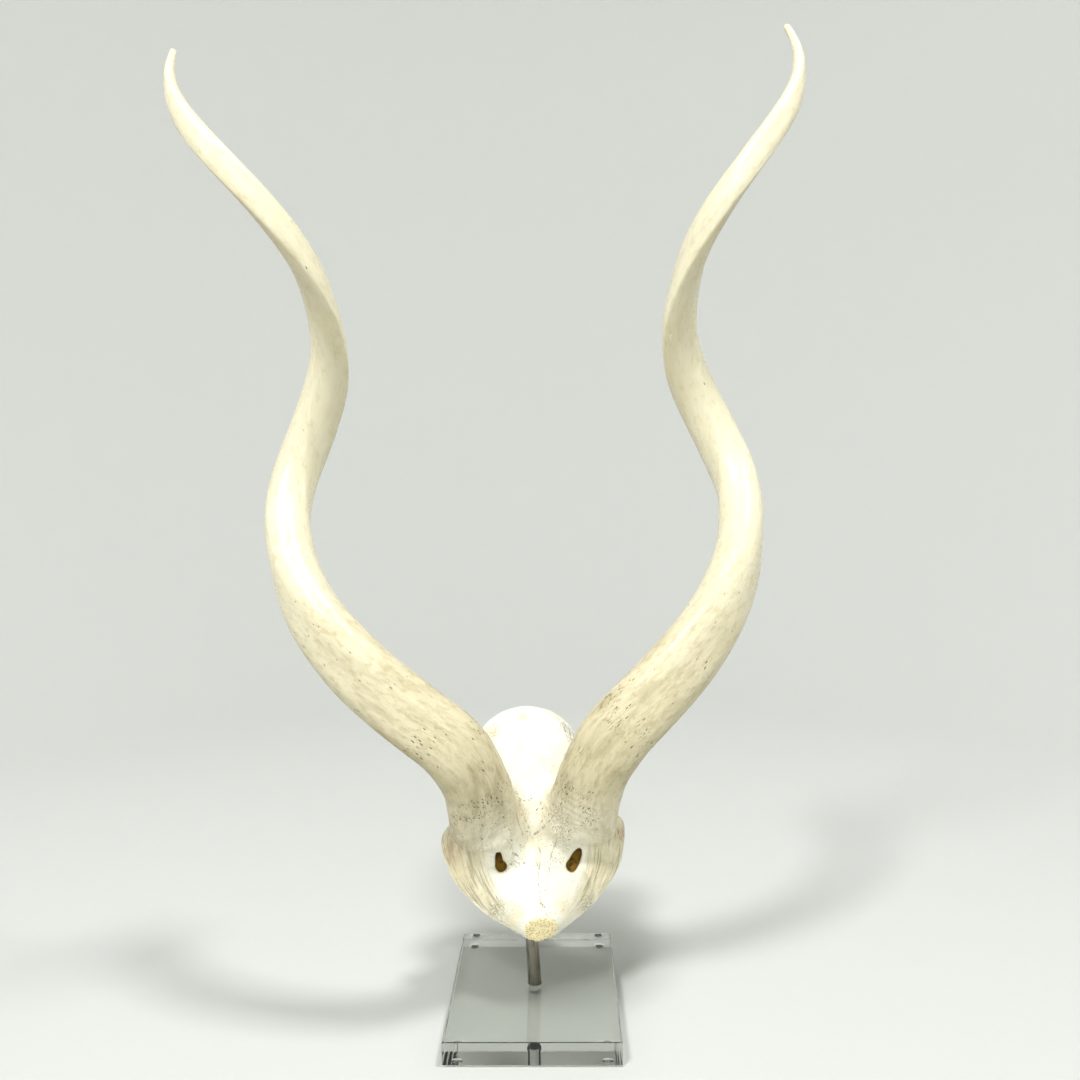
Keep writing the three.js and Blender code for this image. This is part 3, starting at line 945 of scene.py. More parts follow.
@dataclass(frozen=True)
class Pattern:
    """Noise whose lumps have a size in millimetres along each direction of a mark."""

    mark: str
    size: tuple[float, float, float]
    detail: float = 3


@dataclass(frozen=True)
class Coat:
    """A colour or value laid on as far as a pattern rises, and as far as every mark allows."""

    over: str | float
    most: float = 1
    pattern: str = ""
    low: float = 0.4
    high: float = 0.6
    marks: tuple[str, ...] = ()


class Finish:
    """A material in the making, with its masks by name."""

    def __init__(self, name: str, marks: tuple[str, ...], patterns: dict[str, Pattern]) -> None:
        """Starts the material, and reads its marks and patterns.

        Args:
            name: What the finish is called.
            marks: The attributes that it reads from the mesh.
            patterns: Its noises by name.
        """
        self.material = bpy.data.materials.new(name)
        self.material.use_nodes = True
        self.tree = self.material.node_tree
        self.shader = self.tree.nodes["Principled BSDF"]
        self.masks, self.places = {}, {}
        for mark in marks:
            read = add_node(self.tree, "ShaderNodeAttribute", {"attribute_name": mark})
            self.masks[mark], self.places[mark] = read.outputs["Fac"], read.outputs["Vector"]
        for title, pattern in patterns.items():
            scaled = add_node(self.tree, "ShaderNodeVectorMath", {"operation": "DIVIDE"},
                              in0=self.places[pattern.mark], in1=pattern.size)
            lumps = add_node(self.tree, "ShaderNodeTexNoise", Vector=scaled.outputs[0], Scale=1.0,
                             Detail=pattern.detail, Roughness=0.6)
            self.masks[title] = lumps.outputs[0]

    def laid(self, base: str | float, coats: tuple[Coat, ...]) -> bpy.types.NodeSocket:
        """Lays coats over a base.

        Args:
            base: A hex colour or a value.
            coats: Coats of the same sort, the lowest first.

        Returns:
            The colour or value that shows.
        """
        coloured = isinstance(base, str)
        kind, under, over, out = ("RGBA", "in6", "in7", 2) if coloured else ("FLOAT", "in2", "in3", 0)
        top = linear(base) if coloured else base
        for coat in coats:
            amount = coat.most
            if coat.pattern:
                amount = add_node(self.tree, "ShaderNodeMapRange", {"interpolation_type": "SMOOTHSTEP"},
                                  Value=self.masks[coat.pattern], From_Min=coat.low, From_Max=coat.high,
                                  To_Max=coat.most).outputs[0]
            for mark in coat.marks:
                amount = add_node(self.tree, "ShaderNodeMath", {"operation": "MULTIPLY"}, in0=amount,
                                  in1=self.masks[mark]).outputs[0]
            ends = {under: top, over: linear(coat.over) if coloured else coat.over}
            top = add_node(self.tree, "ShaderNodeMix", {"data_type": kind}, in0=amount, **ends).outputs[out]
        return top

    def clear(self, tint: str, share: float, index: float) -> None:
        """Lets a share of the light through, tinted and bent by an index."""
        for name, value in {"Base Color": linear(tint), "Transmission Weight": share, "IOR": index}.items():
            self.shader.inputs[name].default_value = value

    def paint(self, socket: str, base: str | float, coats: tuple[Coat, ...]) -> None:
        """Lays coats and leads them to one of the shader's inputs."""
        self.tree.links.new(self.laid(base, coats), self.shader.inputs[socket])

    def emboss(self, base: float, coats: tuple[Coat, ...], depth: float) -> None:
        """Lays coats of height, from 0 to 1, and presses them in by a depth in millimetres.

        Args:
            base: The height where no coat lies.
            coats: The coats, the lowest first.
            depth: What a height of one stands for, in millimetres.
        """
        bump = add_node(self.tree, "ShaderNodeBump", Strength=1.0, Distance=depth * MM,
                        Height=self.laid(base, coats))
        self.tree.links.new(bump.outputs[0], self.shader.inputs["Normal"])


@dataclass(frozen=True)
class Bone:
    """Bleached bone: chalky and matt where it was scraped, with a waxed ivory sheen on the cores."""

    chalk: str = "f3f1e2"
    cream: str = "e2dabb"
    ivory: str = "e3dcc1"
    tan: str = "c2b48a"
    umber: str = "7a6c45"
    ochre: str = "dcc27e"
    rust: str = "a98a68"
    seam: str = "8a8471"
    stipple: str = "948c7c"
    sawn: str = "f8e9ba"
    marrow: str = "a3854a"
    # The brown of the foramina, laid on with painted shade in the openings and hollows
    hollow: str = "8a6a1e"
    # Near black, painted into the pores and the hollows as shade
    dark: str = "241b0d"
    wander: float = 5
    seam_reach: float = 0.9
    seam_core: float = 0.1
    cells_per_mm: float = 0.62
    relief: float = 0.5
    marks: tuple[str, ...] = (
        "horn", "horn_grain", "cut_place", "fan_place", "shelf", "sawn", "cavity", "suture", "outer",
        "stain", "ear", "worn", "root", "low_core", "under", "pores", "pit",
    )

    def patterns(self) -> dict[str, Pattern]:
        """The bone's noises, at the sizes of what they draw.

        Returns:
            Each pattern by its name.
        """
        return {
            "clouds": Pattern("horn_grain", (15, 15, 38), 5),
            "bands": Pattern("horn_grain", (7, 7, 60), 4),
            "mottle": Pattern("horn_grain", (5, 5, 9), 7),
            "hairs": Pattern("horn_grain", (0.9, 0.9, 13), 3),
            "dashes": Pattern("horn_grain", (0.75, 0.75, 4.2), 1),
            "patches": Pattern("cut_place", (18, 18, 18), 5),
            "fans": Pattern("fan_place", (1.2, 30, 40), 3),
            "freckles": Pattern("cut_place", (1.7, 1.7, 1.7), 2),
            "breaks": Pattern("cut_place", (6, 6, 6), 2),
        }

    def colours(self) -> tuple[Coat, ...]:
        """The coats of colour, from the skull's chalk to the painted shade on the pores' floors.

        Returns:
            The coats, the lowest first.
        """
        low = ("root", "low_core")
        return (
            Coat(self.cream, 0.35, "patches", 0.44, 0.68),
            Coat(self.tan, 0.22, "fans", 0.5, 0.66, ("outer",)),
            Coat(self.cream, 0.9, marks=("shelf",)),
            Coat(self.tan, 0.45, "patches", 0.3, 0.62, ("shelf",)),
            Coat(self.seam, 0.6, "fans", 0.5, 0.6, ("shelf",)),
            Coat(self.stipple, 0.8, "freckles", 0.46, 0.58, ("worn",)),
            Coat(self.umber, 0.6, "freckles", 0.66, 0.71, ("outer",)),
            Coat(self.ochre, 0.6, "patches", 0.3, 0.55, ("stain",)),
            Coat(self.rust, 0.6, "patches", 0.3, 0.55, ("ear",)),
            Coat(self.seam, 0.8, "breaks", 0.34, 0.6, ("seam", "outer")),
            Coat(self.ivory, 1, marks=("horn",)),
            Coat(self.cream, 0.8, "clouds", 0.4, 0.6, ("horn",)),
            Coat(self.tan, 0.45, "mottle", 0.46, 0.7, ("horn",)),
            Coat(self.umber, 0.14, "hairs", 0.55, 0.72, ("horn",)),
            Coat(self.tan, 0.6, marks=low),
            Coat(self.umber, 0.38, "clouds", 0.42, 0.66, low),
            Coat(self.cream, 0.45, "bands", 0.5, 0.68, low),
            Coat(self.umber, 0.26, "mottle", 0.46, 0.7, low),
            Coat(self.umber, 0.14, "hairs", 0.54, 0.7, low),
            # Painted shade: umber laid on the cores where they face downwards
            Coat(self.umber, 0.5, marks=("under",)),
            # Painted shade: near-black dashes stand in for the shade inside the pores
            Coat(self.dark, 0.9, "dashes", 0.64, 0.7, ("pores",)),
            Coat(self.sawn, 1, marks=("sawn",)),
            Coat(self.marrow, 0.75, "cells", 0.5, 0.16, ("sawn",)),
            # The brown tint of the foramina, with painted shade that darkens the openings and the hollows'
            # inner faces
            Coat(self.hollow, 1, marks=("cavity",)),
            Coat(self.dark, 0.7, "breaks", 0.5, 0.66, ("cavity",)),
            # Painted shade: the floors of the bored pores are painted near black
            Coat(self.dark, 1, marks=("pit",)),
        )

    def gloss(self) -> tuple[Coat, ...]:
        """The coats of roughness: waxed cores, dusty skull, dry sponge and pores.

        Returns:
            The coats, the lowest first.
        """
        return (
            Coat(0.23, 1, marks=("horn",)),
            Coat(0.5, 0.8, "mottle", 0.46, 0.7, ("horn",)),
            Coat(0.5, 0.6, marks=("root", "low_core")),
            Coat(0.9, 1, marks=("sawn",)),
            Coat(0.95, 1, marks=("cavity",)),
            Coat(1.0, 1, marks=("pit",)),
        )

    def heights(self) -> tuple[Coat, ...]:
        """The coats of height, finer than the mesh can hold.

        Returns:
            The coats, the lowest first.
        """
        return (
            Coat(0.9, 0.8, "freckles", 0.35, 0.7),
            Coat(0.1, 0.9, "fans", 0.5, 0.68, ("shelf",)),
            Coat(0.1, 0.8, "freckles", 0.46, 0.58, ("worn",)),
            Coat(0.0, 0.9, "breaks", 0.34, 0.6, ("seam", "outer")),
            Coat(0.6, 1, marks=("horn",)),
            Coat(0.35, 1, "hairs", 0.5, 0.72, ("horn",)),
            Coat(0.45, 0.8, "mottle", 0.45, 0.7, ("horn",)),
            Coat(0.0, 1, "dashes", 0.63, 0.69, ("pores",)),
            Coat(0.0, 1, "cells", 0.5, 0.16, ("sawn",)),
        )

    def material(self) -> bpy.types.Material:
        """Builds the finish.

        Returns:
            One material for the whole bone, led by the marks that the mesh carries.
        """
        made = Finish("bleached_bone", self.marks, self.patterns())
        # The noise keeps near its middle, so a suture wanders by about 1 mm
        wander = add_node(made.tree, "ShaderNodeMath", {"operation": "MULTIPLY_ADD"},
                          in0=made.masks["freckles"], in1=self.wander, in2=-self.wander / 2)
        shifted = add_node(made.tree, "ShaderNodeMath", {"operation": "ADD"}, in0=made.masks["suture"],
                           in1=wander.outputs[0])
        away = add_node(made.tree, "ShaderNodeMath", {"operation": "ABSOLUTE"}, in0=shifted.outputs[0])
        line = add_node(made.tree, "ShaderNodeMapRange", {"interpolation_type": "SMOOTHSTEP"},
                        Value=away.outputs[0], From_Min=self.seam_reach, From_Max=self.seam_core)
        made.masks["seam"] = line.outputs[0]
        sponge = add_node(made.tree, "ShaderNodeTexVoronoi", Vector=made.places["cut_place"],
                          Scale=self.cells_per_mm)
        made.masks["cells"] = sponge.outputs["Distance"]
        made.paint("Base Color", self.chalk, self.colours())
        made.paint("Roughness", 0.62, self.gloss())
        made.emboss(0.5, self.heights(), self.relief)
        return made.material


@dataclass(frozen=True)
class ClearAcrylic:
    """Cast acrylic with polished faces: clear through its height, and grey through its length."""

    tint: str = "f7f9f5"
    depths: str = "6c7568"
    density: float = 1.6

    def material(self) -> bpy.types.Material:
        """Builds the finish, with wiped dust in soft patches of 30 mm and specks under 2 mm.

        Returns:
            The block's material.
        """
        made = Finish("cast_acrylic", ("block_place",), {
            "wipes": Pattern("block_place", (30, 55, 20), 4),
            "specks": Pattern("block_place", (1.6, 1.6, 1.6), 2),
        })
        made.clear(self.tint, 1, 1.49)
        made.paint("Roughness", 0.01, (
            Coat(0.07, 1, "wipes", 0.45, 0.7),
            Coat(0.3, 0.7, "specks", 0.7, 0.76),
        ))
        made.emboss(0.5, (Coat(1.0, 0.3, "wipes", 0.3, 0.7), Coat(0.3, 0.4, "specks", 0.68, 0.76)), 0.1)
        depths = add_node(made.tree, "ShaderNodeVolumeAbsorption", Color=linear(self.depths),
                          Density=self.density)
        made.tree.links.new(depths.outputs[0], made.tree.nodes["Material Output"].inputs["Volume"])
        return made.material


@dataclass(frozen=True)
class ClearRubber:
    """Moulded clear polyurethane: soft edged, with a faint milky bloom."""

    tint: str = "eff1ee"

    def material(self) -> bpy.types.Material:
        """Builds the finish, with a bloom in spots of 2 mm.

        Returns:
            The feet's material.
        """
        made = Finish("clear_polyurethane", ("foot_place",), {
            "bloom": Pattern("foot_place", (2, 2, 2), 3),
        })
        made.clear(self.tint, 0.85, 1.5)
        made.paint("Roughness", 0.08, (Coat(0.3, 1, "bloom", 0.4, 0.7),))
        made.emboss(0.5, (Coat(0.9, 0.5, "bloom", 0.4, 0.7),), 0.05)
        return made.material


@dataclass(frozen=True)
class DrawnSteel:
    """Drawn steel rod: dull grey-brown, with die lines along its length and a little dark oxide."""

    grey: str = "a29c90"
    bright: str = "bdb8ad"
    oxide: str = "5d574c"

    def material(self) -> bpy.types.Material:
        """Builds the finish, with lines 0.6 mm wide, coarser than real ones so that they show.

        Returns:
            The rod's material.
        """
        made = Finish("drawn_steel", ("rod_place",), {
            "lines": Pattern("rod_place", (0.6, 0.6, 45), 3),
            "oxide": Pattern("rod_place", (4, 4, 14), 4),
        })
        made.shader.inputs["Metallic"].default_value = 1
        made.paint("Base Color", self.grey, (
            Coat(self.bright, 0.8, "lines", 0.52, 0.66),
            Coat(self.oxide, 0.8, "lines", 0.46, 0.32),
            Coat(self.oxide, 0.6, "oxide", 0.5, 0.68),
        ))
        made.paint("Roughness", 0.34, (
            Coat(0.5, 1, "oxide", 0.4, 0.68),
            Coat(0.42, 0.7, "lines", 0.5, 0.6),
        ))
        made.emboss(0.5, (Coat(1.0, 0.8, "lines", 0.35, 0.65),), 0.12)
        return made.material


# The pieces


@dataclass
class KuduBone:
    """The skull cap and both horn cores as one piece of bone."""

    place: HeadPlace
    cap: SkullCap
    core: HornCore
    markings: CapMarkings = CapMarkings()
    cell: float = 1.75
    sides: int = 64
    steps: int = 280
    core_start: float = 0.062
    core_sunk: float = 0.16
    core_level: float = 0.118
    tips: tuple[float, float] = (0.992, 1.0)
    blunt_end: Pairs = ((0.6, 0.8),)
    round_end: Pairs = ((1.8, 0.85), (3.4, 0.6), (4.4, 0.3))
    grid_low: tuple[float, float, float] = (-112, -8, -4)
    grid_high: tuple[float, float, float] = (112, 232, 160)
    flutes: tuple[Lumps, ...] = (Lumps(0.26, (8, 8, 42), 3), Lumps(0.55, (24, 24, 48), 1, 9))
    swells: tuple[Lumps, ...] = (Lumps(0.45, (13, 13, 13), 2), Lumps(0.2, (4.5, 4.5, 4.5), 2, 3))
    fans: Lumps = Lumps(0.5, (3.4, 40, 40), 2, 5)

    def cap_mesh(self) -> bpy.types.Object:
        """Nets the skull cap and draws its points onto the field's own surface.

        Returns:
            The cap, without its cores.
        """
        low, high = np.array(self.grid_low, float), np.array(self.grid_high, float)
        vertices, quads = surface_net(low, self.cell, self.field_on_grid(low, high))
        vertices = self.drawn_on(vertices)
        log.info("skull cap net: %d points", len(vertices))
        return mesh_object("kudu_bone", self.place.to_frame(self.cap.to_head(vertices)), quads)

    def field_on_grid(self, low: np.ndarray, high: np.ndarray, skip: int = 4) -> np.ndarray:
        """Fills a grid with the cap's field, exactly near its surface and roughly elsewhere.

        Args:
            low: The grid's lowest corner.
            high: The grid's highest corner.
            skip: How many cells a rough cell spans.

        Returns:
            The field on the grid.
        """
        counts = np.ceil((high - low) / (self.cell * skip)).astype(int) + 1
        rough_axes = [a + np.arange(n) * self.cell * skip for a, n in zip(low, counts)]
        rough = np.stack(np.meshgrid(*rough_axes, indexing="ij"), -1).reshape(-1, 3)
        values = self.cap.field(rough, self.core).reshape(counts)
        for axis in range(3):
            places = np.arange((values.shape[axis] - 1) * skip + 1) / skip
            start = np.minimum(places.astype(int), values.shape[axis] - 2)
            f = (places - start).reshape([-1 if a == axis else 1 for a in range(3)])
            values = np.take(values, start, axis) * (1 - f) + np.take(values, start + 1, axis) * f
        near = np.argwhere(np.abs(values) < self.cell * skip * 1.1)
        values[tuple(near.T)] = self.cap.field(near * self.cell + low, self.core)
        return values

    def drawn_on(self, points: np.ndarray, passes: int = 2) -> np.ndarray:
        """Moves cut-frame points onto the field's zero surface along its slope.

        Args:
            points: Points near the surface.
            passes: How often they are moved.

        Returns:
            The moved points.
        """
        step = 0.3
        for _ in range(passes):
            value = self.cap.field(points, self.core)
            slope = np.stack([
                self.cap.field(points + step * axis, self.core) - value for axis in np.eye(3)
            ], 1) / step
            move = slope * (value / np.maximum((slope ** 2).sum(1), 0.05))[:, None]
            points = points - np.clip(move, -self.cell / 2, self.cell / 2)
        return points

    def core_mesh(self, side: Side) -> bpy.types.Object:
        """Sweeps one horn core from inside its pedicle to its tip.

        Args:
            side: Which core.

        Returns:
            The core as a closed piece.
        """
        # The left tip is broken off flat, and the right one is whole
        tip = self.tips[side is Side.RIGHT]
        ends = self.round_end if side is Side.RIGHT else self.blunt_end
        s = np.r_[np.linspace(self.core_start, tip, self.steps), [tip] * len(ends)]
        lifts = np.r_[np.zeros(self.steps), [lift for lift, _ in ends]]
        scales = np.r_[np.ones(self.steps), [scale for _, scale in ends]]
        centre, along, outward, across = self.core.frames(s, side)
        angles = math.radians(self.core.keels[0].angle) + np.arange(self.sides) * 2 * math.pi / self.sides
        sunk = 1 - self.core_sunk * (1 - smooth_step(self.core_start, self.core_level, s))
        radius = self.core.radius(s[:, None], angles[None, :]) * (scales * sunk)[:, None]
        points = centre[:, None] + along[:, None] * lifts[:, None, None]
        points = points + outward[:, None] * (radius * np.cos(angles))[..., None]
        points = points + across[:, None] * (radius * np.sin(angles))[..., None]
        points = points.reshape(-1, 3) * np.array([-side.value, 1, 1])
        points = np.vstack([points, points[:self.sides].mean(0), points[-self.sides:].mean(0)])
        faces = tube_faces(len(s), self.sides)
        if side is Side.RIGHT:
            faces = [tuple(reversed(f)) for f in faces]
        return mesh_object(f"core_{side.name.lower()}", self.place.to_frame(points), faces)

    def build(self) -> bpy.types.Object:
        """Grows the cores into the cap, works its relief and bores its pores.

        Returns:
            The finished bone.
        """
        bone = self.cap_mesh()
        for side in Side:
            bone = joined(bone, self.core_mesh(side), "UNION")
        where = self.map_of(bone)
        seam = smooth_step(0.09, 0.1, where.station) * (1 - smooth_step(0.13, 0.145, where.station))
        eased(bone, seam * (where.horn > 0.3), 14)
        move_points(bone, points_of(bone) + normals_of(bone) * self.relief(where)[:, None])
        self.mark(bone, self.map_of(bone))
        log.info("bone before its pores: %d faces", len(bone.data.polygons))
        finish = Bone().material()
        bone.data.materials.clear()
        bone.data.materials.append(finish)
        bone = PoreField().bored(bone)
        # The rims of the pores are new points, which have no marks of their own yet
        self.mark(bone, self.map_of(bone))
        return bone

    def map_of(self, bone: bpy.types.Object) -> BoneMap:
        """Measures the bone as it stands."""
        return BoneMap.of(bone, self.place, self.cap, self.core)

    def relief(self, where: BoneMap) -> np.ndarray:
        """How far each point is raised or sunk, in millimetres.

        Args:
            where: Where each point lies.

        Returns:
            The lift of each point.
        """
        noise = ValueNoise(SEED)
        x, v, w = where.cut.T
        flutes = sum(lumps.at(noise, where.grain) for lumps in self.flutes)
        outer = w > 3
        swell = sum(lumps.at(noise, where.cut) for lumps in self.swells)
        swell = swell + self.shelf_of(where) * self.fans.at(noise, self.fan_of(where))
        for channel in self.markings.channels:
            away = trail_distance(channel.trail, x, v)
            swell = swell - channel.depth * np.exp(-(away / channel.width) ** 2) * outer
        low = smooth_step(0.02, 0.09, where.station) * (1 - where.horn)
        return where.horn * flutes + (1 - where.horn) * swell * (1 - 0.3 * low)

    def fan_of(self, where: BoneMap) -> np.ndarray:
        """Places whose first number is the share of the way out to the cap's rim, times 60.

        Args:
            where: Where each point lies.

        Returns:
            A place for each point, in which the shelves' growth lines are straight.
        """
        x, v, w = where.cut.T
        out = np.clip((x - self.cap.middle(v)) / np.maximum(self.cap.half_width(v), 5), -1.5, 1.5)
        return np.stack([60 * out + np.where(out > 0, 300, 0), v, w], 1)

    def shelf_of(self, where: BoneMap) -> np.ndarray:
        """One on the two flat shelves outside the brows, nothing elsewhere.

        Args:
            where: Where each point lies.

        Returns:
            A number from 0 to 1 for each point.
        """
        x, v, w = where.cut.T
        out = np.abs(x - self.cap.middle(v)) / np.maximum(self.cap.half_width(v), 5)
        along = smooth_step(14, 42, v) * (1 - smooth_step(100, 112, v))
        return smooth_step(0.5, 0.68, out) * along * smooth_step(1, 3, w) * (1 - where.root)

    def mark(self, bone: bpy.types.Object, where: BoneMap) -> None:
        """Stores what the finish and the pores read, point by point.

        Args:
            bone: The bone.
            where: Where each of its points lies.
        """
        marks = self.markings
        x, v, w = where.cut.T
        outer = smooth_step(1.5, 4, w) * (1 - where.horn)
        sawn = np.maximum(smooth_step(-1.6, -0.7, self.cap.past_tip(v, w)), 1 - smooth_step(0.4, 1.4, w))
        head = self.cap.to_head(where.cut)
        in_hole = self.cap.foramina(x, v, w)
        normal = self.place.to_head(normals_of(bone) + np.array([self.place.shift, 0, 0]))
        lifted = (normal * self.cap.basis()[2]).sum(1)
        side = np.abs(x - self.cap.middle(v))
        depth = self.cap.top(side, v) - w
        # Partly the brown tint of the foramina and partly painted shade: the openings darken with their
        # depth under the cap's face, and inner faces of the hollows that turn away from it are painted at
        # 0.45
        cavity = (1 - smooth_step(0.3, 1.4, in_hole)) * smooth_step(0.8, 3, depth) * (w > 3)
        inner = (lifted < 0.15) & (w > 1.2) & (where.horn < 0.5) & (v < 230) & (depth > 5)
        cavity = np.maximum(cavity, np.where(inner & (side < self.inner_reach(v)), 0.45, 0))
        # Painted shade: the cores' faces that turn downwards are marked, and the finish darkens them with
        # umber
        under = smooth_step(0.05, 0.85, -normals_of(bone)[:, 2]) * where.horn
        porous = where.root * (1 - smooth_step(0.11, 0.36, where.station))
        crowd = np.clip(1.4 * ValueNoise(SEED + 1)(where.cut / 22) + 0.3, 0, 1)
        pores = 0.9 * porous * crowd + 0.01 * where.horn
        pores = np.maximum(pores, 0.8 * marks.spots(marks.worn, x, v) * outer * crowd)
        pores = pores * (1 - sawn) * (head[:, 2] < 760)
        for name, values in {
            "horn": where.horn, "horn_grain": where.grain, "cut_place": where.cut, "flow": where.flow,
            "sawn": sawn, "cavity": cavity, "pores": pores, "suture": marks.suture_lines(x, v),
            "outer": outer, "stain": marks.spots(marks.stains, x, v) * outer, "root": where.root,
            "ear": marks.spots(marks.ears, x, v) * outer, "fan_place": self.fan_of(where),
            "shelf": self.shelf_of(where), "under": under,
            "worn": marks.spots(marks.worn, x, v) * outer,
            "low_core": 1 - smooth_step(0.1, 0.42, where.station),
        }.items():
            store(bone, name, values)

    def inner_reach(self, v: np.ndarray) -> np.ndarray:
        """How far from the middle line the hollows under the cap may lie."""
        return np.maximum(blend_through(self.cap.outline, v) - 5, 0)


def store(piece: bpy.types.Object, name: str, values: np.ndarray) -> None:
    """Keeps one number, or one vector, for each point of a piece.

    Args:
        piece: The piece.
        name: What the mark is called.
        values: A number or a vector for each point.
    """
    kind = "FLOAT" if values.ndim == 1 else "FLOAT_VECTOR"
    attribute = piece.data.attributes.get(name) or piece.data.attributes.new(name, kind, "POINT")
    attribute.data.foreach_set("value" if values.ndim == 1 else "vector", values.astype(np.float32).ravel())


def node_group(name: str, inputs: dict[str, str]) -> bpy.types.NodeTree:
    """Starts a Geometry Nodes tree with geometry in and out.

    Args:
        name: The tree's name.
        inputs: The socket type of each further input, by its name.

    Returns:
        The tree, without nodes.
    """
    tree = bpy.data.node_groups.new(name, "GeometryNodeTree")
    for way in ("INPUT", "OUTPUT"):
        tree.interface.new_socket("Geometry", in_out=way, socket_type="NodeSocketGeometry")
    for title, kind in inputs.items():
        tree.interface.new_socket(title, in_out="INPUT", socket_type=kind)
    return tree


def grown(piece: bpy.types.Object, tree: bpy.types.NodeTree, values: dict[str, object]) -> bpy.types.Mesh:
    """Runs a tree on a piece and takes its result as a plain mesh.

    Args:
        piece: The object that carries the tree's starting geometry.
        tree: The tree.
        values: What its named inputs are set to.

    Returns:
        The mesh. The piece itself is as it was.
    """
    change = piece.modifiers.new(tree.name, "NODES")
    change.node_group = tree
    for item in tree.interface.items_tree:
        if item.in_out == "INPUT" and item.name in values:
            change[item.identifier] = values[item.name]
    mesh = baked(piece)
    piece.modifiers.remove(change)
    return mesh


@dataclass(frozen=True)
class PoreField:
    """The long dark pores of the horn cores' roots and the cap's worn places."""

    per_square_metre: float = 42000
    apart: float = 1.9
    length: float = 1.7
    width: float = 0.34
    depth: float = 1.0
    sharp_from: float = 50

    def tree(self) -> bpy.types.NodeTree:
        """Builds the tree that strews grains shaped like the pores over the bone.

        Returns:
            The tree, which reads the marks pores and flow.
        """
        sizes = ("Density", "Apart", "Length", "Width", "Depth")
        kinds = {name: "NodeSocketFloat" for name in sizes}
        tree = node_group("bone_pores", {**kinds, "Seed": "NodeSocketInt", "Finish": "NodeSocketMaterial"})
        given = add_node(tree, "NodeGroupInput").outputs
        crowd = add_node(tree, "GeometryNodeInputNamedAttribute", {"data_type": "FLOAT"}, Name="pores")
        flow = add_node(tree, "GeometryNodeInputNamedAttribute", {"data_type": "FLOAT_VECTOR"}, Name="flow")
        spread = add_node(tree, "GeometryNodeDistributePointsOnFaces", {"distribute_method": "POISSON"},
                          Mesh=given["Geometry"], Distance_Min=given["Apart"], Density_Max=given["Density"],
                          Density_Factor=crowd.outputs[0], Seed=given["Seed"])
        upright = add_node(tree, "FunctionNodeAlignRotationToVector", {"axis": "Z"},
                           Vector=spread.outputs["Normal"])
        laid = add_node(tree, "FunctionNodeAlignRotationToVector", {"axis": "X", "pivot_axis": "Z"},
                        Rotation=upright.outputs[0], Vector=flow.outputs[0])
        size = add_node(tree, "ShaderNodeCombineXYZ", X=given["Length"], Y=given["Width"], Z=given["Depth"])
        vary = add_node(tree, "FunctionNodeRandomValue", {"data_type": "FLOAT"}, in2=0.0, in3=1.0,
                        Seed=given["Seed"])
        swing = add_node(tree, "ShaderNodeMapRange", Value=vary.outputs[1], To_Min=0.35, To_Max=1.25)
        scale = add_node(tree, "ShaderNodeVectorMath", {"operation": "SCALE"}, in0=size.outputs[0],
                         Scale=swing.outputs[0])
        grain = add_node(tree, "GeometryNodeMeshIcoSphere", Radius=1.0, Subdivisions=1)
        strewn = add_node(tree, "GeometryNodeInstanceOnPoints", Points=spread.outputs["Points"],
                          Instance=grain.outputs[0], Rotation=laid.outputs[0], Scale=scale.outputs[0])
        real = add_node(tree, "GeometryNodeRealizeInstances", Geometry=strewn.outputs[0])
        done = add_node(tree, "GeometryNodeSetMaterial", Geometry=real.outputs[0], Material=given["Finish"])
        add_node(tree, "NodeGroupOutput", Geometry=done.outputs[0])
        return tree

    def bored(self, bone: bpy.types.Object) -> bpy.types.Object:
        """Bores the pores into the bone.

        Args:
            bone: The bone, with its marks and its finish.

        Returns:
            The bored bone, whose pores are marked pit.
        """
        mesh = grown(bone, self.tree(), {
            "Density": self.per_square_metre, "Apart": self.apart * MM, "Length": self.length * MM,
            "Width": self.width * MM, "Depth": self.depth * MM, "Seed": SEED,
            "Finish": bone.data.materials[0],
        })
        grains = placed("pore_grains", mesh)
        log.info("pore grains: %d faces", len(mesh.polygons))
        # The pores' faces are marked pit, and the finish paints them near black as painted shade
        for piece, value in ((bone, 0.0), (grains, 1.0)):
            pit = piece.data.attributes.new("pit", "FLOAT", "FACE")
            pit.data.foreach_set("value", np.full(len(piece.data.polygons), value, np.float32))
        bored = joined(bone, grains, "DIFFERENCE")
        bored.data.set_sharp_from_angle(angle=math.radians(self.sharp_from))
        self.sharpen_rims(bored.data)
        return bored

    @staticmethod
    def sharpen_rims(mesh: bpy.types.Mesh) -> None:
        """Marks the edges between the pores and the face of the bone as sharp.

        Args:
            mesh: The bored bone.
        """
        inside = np.zeros(len(mesh.polygons), np.float32)
        mesh.attributes["pit"].data.foreach_get("value", inside)
        sizes = np.zeros(len(mesh.polygons), np.int32)
        mesh.polygons.foreach_get("loop_total", sizes)
        edge_of_loop = np.zeros(len(mesh.loops), np.int32)
        mesh.loops.foreach_get("edge_index", edge_of_loop)
        pits = np.bincount(edge_of_loop, np.repeat(inside > 0.5, sizes), len(mesh.edges))
        sharp = mesh.attributes.get("sharp_edge") or mesh.attributes.new("sharp_edge", "BOOLEAN", "EDGE")
        marked = np.zeros(len(mesh.edges), bool)
        sharp.data.foreach_get("value", marked)
        sharp.data.foreach_set("value", marked | (pits == 1))


